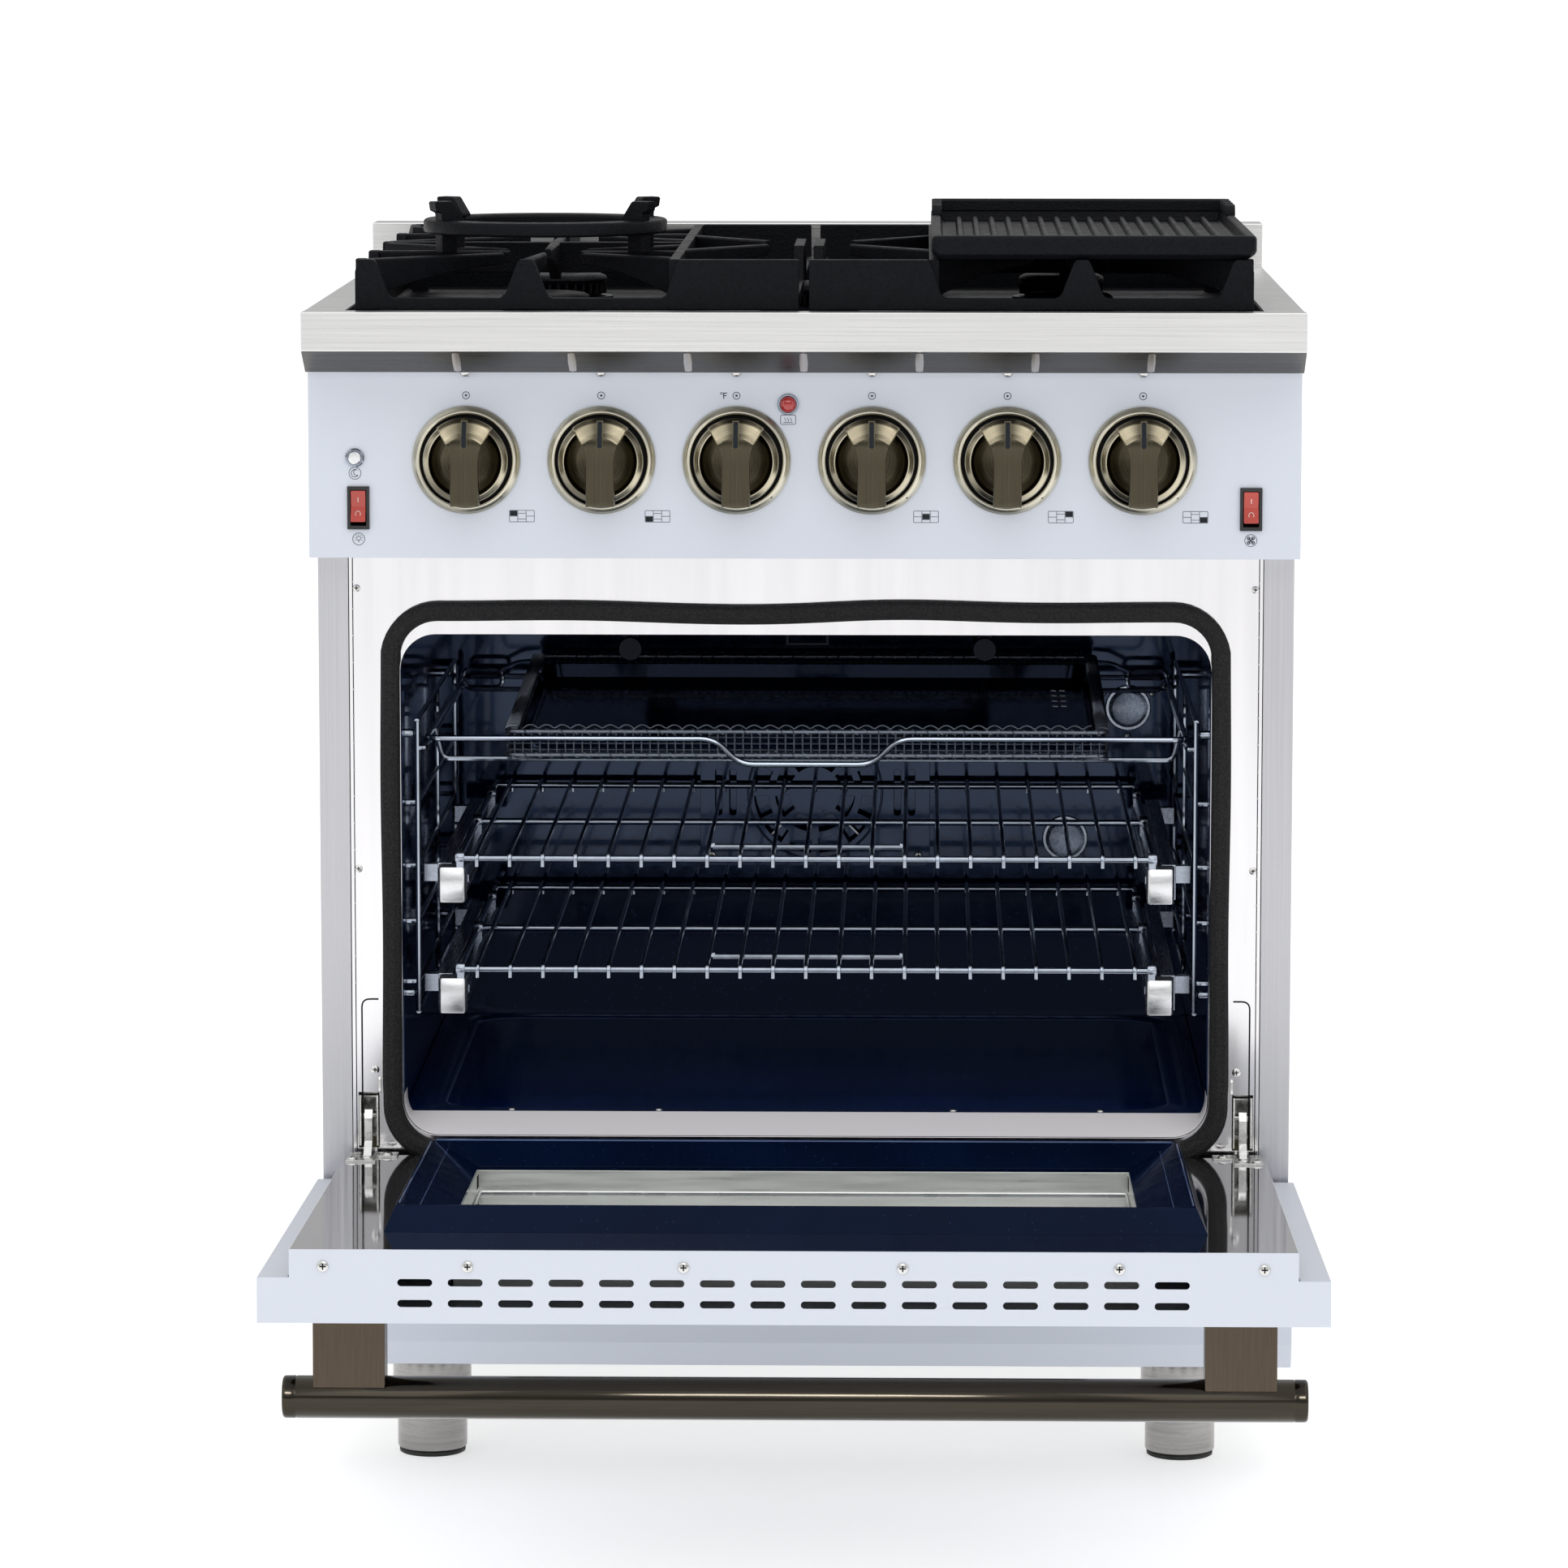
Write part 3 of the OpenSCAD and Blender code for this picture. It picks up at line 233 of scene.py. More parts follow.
M = {
    "white": paint((0.605, 0.64, 0.715)),
    "steel_x": brushed((0.74, 0.735, 0.73), 0.30, (5, 620, 620)),
    # under is a dark copy of the brushed steel, painted shade for the bullnose's underside; rib is a lighter copy,
    # painted highlights on its ribs.
    "under": brushed((0.13, 0.127, 0.125), 0.3, (5, 620, 620), 0.05, 0.25),
    "rib": brushed((0.72, 0.68, 0.65), 0.34, (620, 5, 5), 0.05, 0.2),
    "steel_z": brushed((0.55, 0.55, 0.575), 0.34, (520, 520, 5)),
    "mirror": brushed((0.76, 0.75, 0.765), 0.12, (60, 60, 3), 0.006, 0.07),
    "mirror_x": brushed((0.74, 0.74, 0.77), 0.05, (9, 420, 420), 0.01, 0.05),
    "galvanised": galvanised((0.66, 0.67, 0.68)),
    "trunk": brushed((0.95, 0.96, 0.92), 0.34, (14, 260, 260), 0.02, 0.06),
    "navy": enamel((0.0014, 0.0048, 0.019), (0.01, 0.02, 0.06), 0.1, 420, 0.28),
    "cavity": enamel((0.0014, 0.0055, 0.024), (0.02, 0.04, 0.1), 0.08, 300),
    # A lighter enamel for thin tubes that paint highlights along edges of the oven floor and the window panel.
    "bead": enamel((0.085, 0.12, 0.22), (0.10, 0.15, 0.27), 0.08),
    "lip": paint((0.70, 0.68, 0.70), 0.2),
    "floor": enamel((0.0018, 0.012, 0.060), (0.012, 0.03, 0.10), 0.09, 300),
    "black_enamel": enamel((0.002, 0.004, 0.012), (0.03, 0.04, 0.07), 0.09),
    "iron": cast((0.0048, 0.0052, 0.0068), 0.4),
    "cap": cast((0.004, 0.0045, 0.006), 0.35),
    "brass": brushed((0.078, 0.068, 0.046), 0.24, (900, 900, 14), 0.06, 0.3),
    "brass_x": brushed((0.054, 0.047, 0.037), 0.14, (10, 700, 700), 0.03, 0.2),
    "bracket": brushed((0.105, 0.083, 0.062), 0.32, (600, 600, 10), 0.06, 0.2),
    # The bezel and knob finishes carry a painted highlight that sweeps round each knob.
    "bezel": concentric((0.60, 0.57, 0.47)),
    "knob_ring": concentric((0.44, 0.40, 0.30), 0.2, depth=0.45),
    "knob_top": concentric((0.34, 0.30, 0.21), 0.22, 4.7, -8.953, 0.5),
    "knob_face": concentric((0.15, 0.13, 0.088), 0.24),
    "chrome": brushed((0.36, 0.40, 0.47), 0.14, (90, 90, 90), 0.02, 0.15),
    "mesh": brushed((0.21, 0.235, 0.28), 0.4, (300, 300, 300), 0.05, 0.15),
    "foot": brushed((0.36, 0.35, 0.34), 0.26, (12, 12, 500), 0.06, 0.2),
    "burnt": brushed((0.012, 0.013, 0.018), 0.4, (30, 300, 30), 0.05, 0.3),
    "glide": brushed((0.42, 0.46, 0.54), 0.26, (300, 6, 300), 0.03, 0.15),
    "block": brushed((0.80, 0.81, 0.82), 0.3, (60, 60, 300), 0.03, 0.1),
    "zinc": galvanised((0.72, 0.72, 0.70), 0.26, 240),
    "aluminium": brushed((0.55, 0.57, 0.60), 0.35, (200, 200, 200), 0.04),
    "yellow": brushed((0.65, 0.48, 0.2), 0.3, (200, 200, 200)),
    "gasket": braid((0.007, 0.007, 0.0075)),
    "wool": plastic((0.62, 0.55, 0.34), 0.9, 160, 0.8),
    "glass": glass((0.90, 0.95, 0.94)),
    "tinted": glass((0.36, 0.39, 0.40), 0.03),
    "lens": glass((0.62, 0.66, 0.72), 0.14),
    "black": plastic((0.012, 0.012, 0.014), 0.3),
    "rubber": plastic((0.01, 0.01, 0.01), 0.6),
    "red": plastic((0.42, 0.035, 0.02), 0.18, 60, 0.03, Coat_Weight=0.5),
    "jewel": plastic((0.36, 0.008, 0.008), 0.1, 200, 0.03, Coat_Weight=1.0),
    "ink": plastic((0.045, 0.05, 0.07), 0.5, 900, 0.03),
    "dark_ink": plastic((0.014, 0.018, 0.022), 0.5, 900, 0.03, Specular_IOR_Level=0.12),
    "mark": plastic((0.75, 0.55, 0.5), 0.5, 900, 0.03),
    "shadow": plastic((0.008, 0.008, 0.009), 0.7, 400, 0.1, Specular_IOR_Level=0.1),
}
for name, material in M.items():
    material.name = name


# Shapes

def arc(x, y, r, start, step, count):
    """Points on a circle, from a start angle in degrees and one step after another."""
    angles = [radians(start + step * k) for k in range(count)]
    return [(x + r * cos(a), y + r * sin(a)) for a in angles]


def circle(x, y, r, steps=24):
    return arc(x, y, r, 0, 360 / steps, steps)


def rounded(x0, y0, x1, y1, r, steps=6):
    """The outline of a rectangle with round corners, anticlockwise."""
    corners = ((x1 - r, y1 - r), (x0 + r, y1 - r), (x0 + r, y0 + r), (x1 - r, y0 + r))
    return [point for i, corner in enumerate(corners) for point in arc(*corner, r, 90 * i, 90 / steps, steps + 1)]


def bend(path, r, closed=False, steps=5):
    """A path of straight runs with its corners rounded."""
    points, out = [Vector(p) for p in path], []
    for i, p in enumerate(points):
        if not closed and i in (0, len(points) - 1):
            out.append(p)
            continue
        u, v = points[i - 1] - p, points[(i + 1) % len(points)] - p
        t = min(r, u.length * 0.49, v.length * 0.49)
        start, end = p + u.normalized() * t, p + v.normalized() * t
        for k in range(steps + 1):
            w = k / steps
            out.append(start * (1 - w) ** 2 + p * (2 * w * (1 - w)) + end * w * w)
    return out


def stand(axis, u, v, w):
    """A point of a flat outline, at the height w along an axis."""
    return {"x": (w, u, v), "y": (u, w, v), "z": (u, v, w)}[axis]


class Form:
    """Collects the surfaces of one piece, in millimetres; mat picks which of its materials comes next."""

    def __init__(self, place=TO_ROW):
        self.bm = bmesh.new()
        self.place = place
        self.mat = 0

    def face(self, verts):
        made = self.bm.faces.new(verts)
        made.material_index = self.mat
        made.smooth = True

    def loft(self, rings, start=True, end=True, closed=False):
        made = [[self.bm.verts.new(p) for p in ring] for ring in rings]
        count = len(made[0])
        pairs = list(zip(made, made[1:])) + ([(made[-1], made[0])] if closed else [])
        for a, b in pairs:
            for k in range(count):
                self.face((a[k], a[(k + 1) % count], b[(k + 1) % count], b[k]))
        if start and not closed:
            self.face(list(reversed(made[0])))
        if end and not closed:
            self.face(made[-1])
        return self

    def prism(self, outline, low, high, axis="z"):
        return self.loft([[stand(axis, u, v, w) for u, v in outline] for w in (low, high)])

    def slab(self, outline, one, other):
        """A prism along X, between two distances that may come in either order."""
        return self.prism(outline, min(one, other), max(one, other), "x")

    def box(self, low, high):
        return self.prism([(low[0], low[1]), (high[0], low[1]), (high[0], high[1]), (low[0], high[1])],
                          low[2], high[2])

    def lathe(self, profile, at=(0, 0, 0), axis="y", steps=48, start=True, end=True):
        """Turns (radius, height) pairs about an axis through a point; the height of a Y lathe runs to the front."""
        rings = []
        for r, h in profile:
            ring = [stand(axis, c, s, -h if axis == "y" else h) for c, s in circle(0, 0, max(r, 0.01), steps)]
            rings.append([[p + o for p, o in zip(at, offset)] for offset in ring])
        return self.loft(rings, start, end)

    def shell(self, profile, at=(0, 0, 0), axis="y"):
        """A fine lathe left open at both ends."""
        return self.lathe(profile, at, axis, 72, False, False)

    def tube(self, path, r, steps=8, fillet=0, closed=False, section=None, up=None):
        points = bend(path, fillet, closed) if fillet else [Vector(p) for p in path]
        count, rings, side = len(points), [], None
        outline = section or circle(0, 0, r, steps)
        for i, p in enumerate(points):
            before = points[i - 1] if closed or i else points[0]
            after = points[(i + 1) % count] if closed or i < count - 1 else points[-1]
            along = (after - before).normalized()
            if up is not None:
                side = along.cross(Vector(up)).normalized()
            elif side is None:
                side = along.cross(Vector((0, 0, 1)) if abs(along.z) < 0.9 else Vector((1, 0, 0))).normalized()
            side = (side - along * side.dot(along)).normalized()
            over = side.cross(along)
            rings.append([p + side * u + over * v for u, v in outline])
        return self.loft(rings, closed=closed)

    def pan(self, rings, start=True, end=True):
        """Nested rounded rectangles (x0, y0, x1, y1, r, z), joined one to the next."""
        return self.loft([[(x, y, z) for x, y in rounded(x0, y0, x1, y1, r)] for x0, y0, x1, y1, r, z in rings],
                         start, end)

    def even_pan(self, rings, start=True, end=True):
        """Nested rounded rectangles (half width, y0, y1, r, z) that are even about X = 0."""
        return self.pan([(-half, y0, half, y1, r, z) for half, y0, y1, r, z in rings], start, end)

    def taper(self, start, end, widths, tops, unders, steps=6, curve=1.7):
        """A finger from one point to another; its underside curves up towards the tip."""
        a, b = Vector((*start, 0)), Vector((*end, 0))
        side = (b - a).normalized().cross(Vector((0, 0, 1)))
        rings = []
        for k in range(steps + 1):
            t = k / steps
            w = (widths[0] * (1 - t) + widths[1] * t) / 2
            top = tops[0] * (1 - t) + tops[1] * t
            low = unders[1] + (unders[0] - unders[1]) * (1 - t) ** curve
            p = a.lerp(b, t)
            rings.append([(*(p + side * u).xy, z) for u, z in
                          ((-w, low), (w, low), (w, top - 1.2), (w - 1.2, top), (1.2 - w, top), (-w, top - 1.2))])
        return self.loft(rings)

    def screw(self, at, axis="y", r=4.2, h=1.8, mats=(0, 1)):
        """A domed screw head whose cross recess is painted as a dark cross on top, shade in the second material; it
        faces the front on "y" and the back on "-y".
        """
        flat = {"y": ((1, 0, 0), (0, 0, 1), (0, -1, 0)), "-y": ((1, 0, 0), (0, 0, 1), (0, 1, 0)),
                "z": ((1, 0, 0), (0, 1, 0), (0, 0, 1)), "-z": ((1, 0, 0), (0, -1, 0), (0, 0, -1))}[axis]
        u, v, w = (Vector(d) for d in flat)
        at = Vector(at)
        self.mat = mats[0]
        rings = []
        for share, up in ((1, 0), (1, 0.25), (0.92, 0.6), (0.72, 0.85), (0.4, 1.0), (0.02, 1.04)):
            rings.append([at + u * c + v * s + w * (h * up) for c, s in circle(0, 0, r * share, 20)])
        self.loft(rings)
        self.mat = mats[1]
        for p, q in ((u, v), (v, u)):
            self.loft([[at + p * (a * r * 0.55) + q * (b * r * 0.12) + w * h * z
                        for a, b in ((-1, -1), (1, -1), (1, 1), (-1, 1))] for z in (0.7, 1.08)])
        self.mat = mats[0]
        return self

    def done(self, name, materials, body="range", replaces="", bevel=0.0, at=None, angle=32):
        """Makes the piece: at is its own origin in millimetres, if its texture turns about it."""
        mesh = bpy.data.meshes.new(name)
        bmesh.ops.recalc_face_normals(self.bm, faces=self.bm.faces)
        self.bm.to_mesh(mesh)
        self.bm.free()
        mesh.transform(Matrix.Scale(MM, 4) if at is not None else self.place)
        mesh.set_sharp_from_angle(angle=radians(angle))
        for key in materials.split():
            mesh.materials.append(M[key])
        return install(name, mesh, body, replaces, bevel, at, angle)


def install(name, mesh, body, replaces="", bevel=0.0, at=None, angle=32):
    obj = bpy.data.objects.new(name, mesh)
    show(obj)
    if at is not None:
        obj.location = TO_ROW @ Vector(at)
    if bevel:
        soften(obj, bevel, angle)
    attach(obj, body)
    if replaces:
        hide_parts(*replaces.split())
    return obj


def soften(obj, width, angle):
    edge = obj.modifiers.new("Bevel", "BEVEL")
    edge.width = width * MM
    edge.segments = 2
    edge.limit_method = "ANGLE"
    edge.angle_limit = radians(angle)
    edge.harden_normals = True


def dress(name, key, bevel):
    """Gives a carried-over CAD node its material and, where wanted, softened edges."""
    obj = NODES[name]
    obj.data.materials.clear()
    obj.data.materials.append(M[key])
    if bevel:
        weld = obj.modifiers.new("Weld", "WELD")
        weld.merge_threshold = 1e-5
        flat = obj.modifiers.new("Flat", "DECIMATE")
        flat.decimate_type = "DISSOLVE"
        flat.angle_limit = radians(0.4)
        soften(obj, bevel, 40)


def flat_piece(outlines, low, high, bevel):
    """A mesh from (x, z) outlines with holes, between two planes across Y."""
    curve = bpy.data.curves.new("outline", "CURVE")
    curve.dimensions = "2D"
    curve.fill_mode = "BOTH"
    for outline in outlines:
        spline = curve.splines.new("POLY")
        spline.points.add(len(outline) - 1)
        for point, (u, v) in zip(spline.points, outline):
            point.co = (u, v, 0, 1)
        spline.use_cyclic_u = True
    curve.extrude = (high - low) / 2 - bevel
    curve.bevel_depth = bevel
    curve.bevel_resolution = 1
    curve.offset = -bevel
    holder = bpy.data.objects.new("outline", curve)
    show(holder)
    mesh = bpy.data.meshes.new_from_object(holder.evaluated_get(bpy.context.evaluated_depsgraph_get()))
    bpy.data.objects.remove(holder)
    mesh.transform(TO_ROW @ Matrix(((1, 0, 0, 0), (0, 0, -1, (low + high) / 2), (0, 1, 0, 0), (0, 0, 0, 1))))
    mesh.set_sharp_from_angle(angle=radians(32))
    return mesh


# Carried-over sheet metal

# Material, width of the softened edges in millimetres (0 for none) and the nodes that get them.
DRESSES = """
steel_z 0.4 side_panels
galvanised 0 back_panel base_pan
galvanised 0.6 fan_motor
white 0.7 control_fascia kick_panel door_skin
steel_x 0.8 bullnose backguard cooktop_tray
mirror 0.4 front_frame
mirror_x 0.4 door_liner
navy 1.0 door_plug
cavity 0 oven_liner
trunk 0.3 window_trunk
glass 0.3 inner_glass
tinted 0.3 outer_glass
wool 0 insulation
burnt 0.6 oven_burners burner_bases
galvanised 0.8 gas_manifold
yellow 0.8 gas_valves
foot 0.6 leg_sleeves
zinc 0.3 hinge_receivers hinge_claws door_hinges
glide 0.5 glide_channels
bracket 1.0 handle_brackets
black 0.8 switch_frames
red 0.8 lamp_rocker fan_rocker
aluminium 0.2 convection_fan"""
for line in DRESSES.split("\n")[1:]:
    key, width, *names = line.split()
    for name in names:
        dress(name, key, float(width))


# Front trim

f = Form()
for x in KNOB_X:
    f.screw((x, -61, 862), "-z", 4.2, 3.0)
for x in (-287, 0, 287):
    f.screw((x, -6, 719), "-z", 4, 3.0)
for x in (-348.5, 348.5):
    for z in (470, 690):
        f.screw((x, 0, z), "y", 3, 1.8)
for x in (-337, 337):
    f.screw((x, 0, 311), "y", 3.4, 1.8)
f.done("trim_screw_heads", "zinc shadow", "range", "trim_screws")

# The bullnose's underside has seven short stiffening ribs pressed into its slope. Its plate takes a dark copy of the
# brushed steel as painted shade, and the ribs a lighter copy as painted highlights.
f = Form()
low, high = Vector((0, -66, 862)), Vector((0, -100, 880.4))
slope = (high - low).normalized()
out = Vector((0, slope.z, -slope.y)) * -1
out = out if out.y < 0 else -out
plate = [low.lerp(high, t) + out * d for t, d in ((0.03, 0), (0.97, 0), (0.97, 0.25), (0.03, 0.25))]
f.loft([[p + Vector((x, 0, 0)) for p in plate] for x in (-380.8, 380.8)])
f.mat = 1
for i in range(7):
    x = (i - 3) * 88
    rings = []
    for t, w, h in ((0.0, 3.6, 0.25), (0.1, 4.4, 0.7), (0.5, 4.8, 0.8), (0.9, 4.4, 0.7), (1.0, 3.6, 0.25)):
        p = low.lerp(high, t)
        rings.append([p + Vector((x + u * w, 0, 0)) + out * (v * h - 0.3)
                      for u, v in ((-1, 0), (-0.6, 0.8), (0, 1), (0.6, 0.8), (1, 0))])
    f.loft(rings)
f.mat = 2
for side in SIDES:
    f.slab([(-55.8, 862), (-0.5, 862), (-0.5, 878.8), (-55.8, 878.8)], side * 378.8, side * 379.9)
f.done("bullnose_underside", "under rib steel_x")

# Arched grooves beside the oven's lower corners, and the rolled lower lip of the mouth.
f = Form()
for side in SIDES:
    f.tube([(side * 334, -0.05, 367), (side * 347, -0.05, 367), (side * 347, -0.05, 250)], 0.7, 6, 9)
    f.tube([(side * FLANGE_X, 0.1, z) for z in (192, 744)], 0.45, 6)
f.done("frame_grooves", "shadow")
f = Form()
lower = [(-314.3, 292), *(p for p in rounded(-314.3, 259.5, 314.3, 653.4, 27.5, 12) if p[1] < 300), (314.3, 292)]
strips = [[f.bm.verts.new((x * share, y, max(z + rise, floor))) for x, z in lower] for share, y, rise, floor in (
    (1, 0.2, 0, 0), (0.9985, 1.4, 0.9, 260.4), (0.998, 24.5, 0.9, 273.0), (0.998, 26.4, 0.9, 273.9))]
for a, b in zip(strips, strips[1:]):
    for k in range(len(a) - 1):
        f.face((a[k], a[k + 1], b[k + 1], b[k]))
f.done("mouth_sill", "lip", angle=50)
f = Form()
for side in SIDES:
    f.slab(rounded(1.2, 288, 25.8, 625, 1.5, 3), side * 314.2, side * 314.9)
f.done("mouth_sides", "cavity")

# Rivets down the frame's side flanges.
f = Form()
for side in SIDES:
    for k in range(17):
        f.lathe([(0.01, 0.5), (0.5, 0.4), (0.8, 0)], (side * FLANGE_X, 0, 380 + k * 21), steps=8)
f.done("frame_rivets", "zinc")


# Printed symbols on the fascia

def stroke(f, points, width=0.5, closed=False):
    """A printed line, a thin ribbon on the fascia through (x, z) points."""
    path = [Vector((x, FASCIA_Y - 0.03, z)) for x, z in points]
    half = width * 0.62
    section = [(-half, -0.03), (half, -0.03), (half, 0.03), (-half, 0.03)]
    f.tube(path, 0, closed=closed, section=section, up=(0, 1, 0))


f = Form()
for x in KNOB_X:
    stroke(f, circle(x, 843.9, 2.7, 20), 0.5, True)
    f.lathe([(1.0, 0), (1.0, 0.06)], (x, FASCIA_Y, 843.9), steps=12)
x = KNOB_X[2] - 9
stroke(f, circle(x - 2.6, 845.6, 0.8, 10), 0.4, True)
stroke(f, [(x - 0.8, 841.6), (x - 0.8, 846.2)], 0.7)
stroke(f, [(x - 0.8, 845.9), (x + 1.8, 845.9)], 0.6)
stroke(f, [(x - 0.8, 844), (x + 1.3, 844)], 0.6)
x, z = LAMP_X, 825.6
stroke(f, rounded(x - 5.8, z - 3.6, x + 5.8, z + 3.6, 1.2, 3), 0.4, True)
for dx in (-2.2, 0, 2.2):
    stroke(f, [(x + dx + 0.5 * sin(k * 1.1), z - 1.4 + k * 0.6) for k in range(6)], 0.4)
stroke(f, [(x - 3.6, z - 2.2), (x + 3.6, z - 2.2)], 0.4)
x, z = BUTTON_X, 784.0
stroke(f, circle(x, z, 4.6, 28), 0.4, True)
stroke(f, arc(x, z, 2.9, 50, 26, 11) + arc(x + 1.3, z + 0.7, 2.3, 300, -22, 10), 0.45, True)
for side in SIDES:
    stroke(f, circle(side * ROCKER_X, 733.5, 4.6, 28), 0.4, True)
x, z = -ROCKER_X, 733.5
stroke(f, circle(x, z + 0.6, 1.5, 16), 0.4, True)
stroke(f, [(x - 0.7, z - 1.8), (x + 0.7, z - 1.8)], 0.5)
for ray in zip(arc(x, z + 0.6, 2.3, -30, 40, 7), arc(x, z + 0.6, 3.3, -30, 40, 7)):
    stroke(f, ray, 0.4)
x = ROCKER_X
for tip in arc(x, z, 2.4, 45, 90, 4):
    stroke(f, circle(*tip, 1.0, 12), 0.7, True)
    stroke(f, [(x, z), tip], 0.7)
for x, column, row in ((-216.4, 0, 1), (-112.4, 0, 0), (93.3, 1, 0.5), (196.4, 2, 1), (299.3, 2, 0)):
    f.mat = 0
    z = 751.3
    stroke(f, rounded(x - 9.5, z - 4.4, x + 9.5, z + 4.4, 0.5, 2), 0.35, True)
    for dx in (-3.2, 3.2):
        stroke(f, [(x + dx, z - 4.4), (x + dx, z + 4.4)], 0.35)
    for a, b in ((-9.5, -3.2), (3.2, 9.5)):
        stroke(f, [(x + a, z), (x + b, z)], 0.35)
    for dz in (2.2, -2.2):
        stroke(f, [(x - 3.2, z + dz), (x + 3.2, z + dz)], 0.35)
    f.mat = 1
    cx, cz = x + (column - 1) * 6.35, z + (row - 0.5) * 4.4
    f.box((cx - 2.8, FASCIA_Y - 0.07, cz - 1.9), (cx + 2.8, FASCIA_Y, cz + 1.9))
f.done("fascia_symbols", "ink dark_ink")


# Knobs, lamp, button and switches

for i, name in enumerate(KNOBS):
    at = (KNOB_X[i], FASCIA_Y, KNOB_Z)
    f = Form()
    f.shell([(10.5, 0.1), (41.2, 0.1), (41.5, 0.6), (41.5, 1.8), (41.1, 2.4), (38.2, 5.3), (37.6, 5.8), (36.6, 6.0),
             (35.7, 5.7), (35.2, 5.0), (35.1, 1.7)])
    f.shell([(10.5, 1.7), (10.5, 0.1)])
    f.mat = 1
    f.shell([(35.1, 1.7), (10.5, 1.7)])
    f.lathe([(0.9, 4.3), (0.9, 4.9), (0.4, 5.0)], (26.5, 0, -28.0), steps=10)
    f.done("bezel_" + name, "bezel shadow", "range", "knob_bezels" if i == 0 else "", at=at)

    f = Form()
    f.shell([(12, 2.0), (31.7, 2.0), (32.5, 2.8), (32.6, 13.0), (32.3, 14.3), (31.6, 15.0), (28.8, 17.4),
             (28.0, 17.4), (27.5, 16.7)])
    f.mat = 1
    f.lathe([(27.5, 16.7), (26.9, 14.4), (24.4, 12.0), (18, 9.9), (10, 9.0), (0.01, 8.9)], steps=72, start=False)
    f.mat = 2
    f.lathe([(4, 2.1), (4, -12)], steps=16)
    f.mat = 3
    flank = [(10.8 + 3.0 * max(0.0, z / 13.8) ** 2, z) for z in (-33.6 + 47.4 * k / 20 for k in range(21))]
    half = flank + arc(0, 0, 19.5, 51, 6, 7)
    f.loft([[(sign * max(x - cut, 0.3), -h, z + (cut if z < -33 else -cut if z > 13.9 else 0)) for sign, x, z in
             [(1, x, z) for x, z in half] + [(-1, x, z) for x, z in reversed(half)]]
            for h, cut in ((8.9, -0.2), (28.9, 0), (29.7, 0.35), (30.0, 1.1))], start=False)
    f.mat = 4
    rings = []
    for r, drop in ((18.6, 0), (19.6, 0), (24, 0), (28.5, 0), (33.0, 0), (33.6, 0.8)):
        high = 29.5 - 0.6 * max(0.0, r - 19.5) - drop
        reach = 45 - 5.5 * (r - 19.5) / 14
        edge = [(-reach, 9), (-reach, high - 0.9)]
        edge += [(-reach + 2 + (reach - 2) * 2 * k / 14, high) for k in range(15)]
        edge += [(reach, high - 0.9), (reach, 9)]
        rings.append([(r * sin(radians(a)), -h, r * cos(radians(a))) for a, h in edge])
    f.loft(rings)
    for key, w, up, ends in ((4, 2.5, 0.1, (10.8, 31.8)), (2, 1.75, 0.2, (11.6, 31.0))):
        f.mat = key
        low, high = ends
        f.tube([(0, -30, low), (0, -30, low + 1.2), (0, -30, 19.4), (0, -29.5 + 0.6 * (high - 19.5), high)], 0,
               section=[(-w, -0.6), (w, -0.6), (w, up), (-w, up)], up=(0, -1, 0))
    f.done(name + "_grip", "knob_ring knob_face dark_ink brass knob_top", name + "_body", name,
           at=at)

f = Form()
f.lathe([(6.0, -16), (6.2, 0), (7.6, 0), (8.0, 0.6), (8.0, 1.8), (7.4, 2.5), (6.7, 2.5), (6.3, 1.8)],
        steps=40, end=False)
f.mat = 1
f.lathe([(6.4, 1.7), (6.2, 3.4), (5.2, 4.8), (3.4, 5.7), (1.6, 6.0), (0.01, 6.05)], steps=12, start=False)
f.done("oven_on_lamp", "chrome jewel", "range", "indicator_lamp", at=(LAMP_X, FASCIA_Y, 837.4))

f = Form()
f.lathe([(5.15, 1.0), (5.3, 2.2), (6.2, 2.7), (7.2, 1.9), (7.4, 0.4), (7.4, 0.02)],
        steps=40, start=False, end=False)
f.done("button_ring", "chrome", at=(BUTTON_X, FASCIA_Y, 795.9))
f = Form()
f.lathe([(4.9, -9), (5.0, 3.2), (4.7, 4.0), (4.0, 4.5), (2.0, 4.6), (0.01, 4.55)], steps=40)
f.done("button_cap", "block", "push_button_body", "push_button",
       at=(BUTTON_X, FASCIA_Y, 795.9))

for side, body in ((-1, "lamp_rocker_body"), (1, "fan_rocker_body")):
    tilt = Matrix.Translation((side * ROCKER_X, -50, 757.5)) @ Matrix.Rotation(radians(-8), 4, "X")
    f = Form(TO_ROW @ tilt)
    f.loft([[(u, y, 5.6 + v) for u, v in ((-0.35, -2.3), (0.35, -2.3), (0.35, 2.3), (-0.35, 2.3))]
            for y in (-10.2, -10.0)])
    f.tube([(1.9 * u, -10.05, -5.8 + 2.2 * v) for u, v in circle(0, 0, 1, 20)], 0.28, 6, closed=True)
    f.done("rocker_marks_" + body[:3], "mark", body)


# Feet

f = Form()
for x, y in ((-296, 30), (296, 30), (-296, 545), (296, 545)):
    f.mat = 1
    f.lathe([(25.0, 0), (26.0, 0.6), (26.2, 3.2), (25.6, 4.0)], (x, y, 0), "z")
    f.mat = 0
    f.lathe([(25.8, 4.0), (27.2, 5.0), (27.5, 6.2), (27.5, 38), (26.8, 39), (26.8, 70), (12, 71)], (x, y, 0), "z")
f.done("feet", "foot rubber", "range", "levelling_feet")


# Oven: gasket, floor, ladders

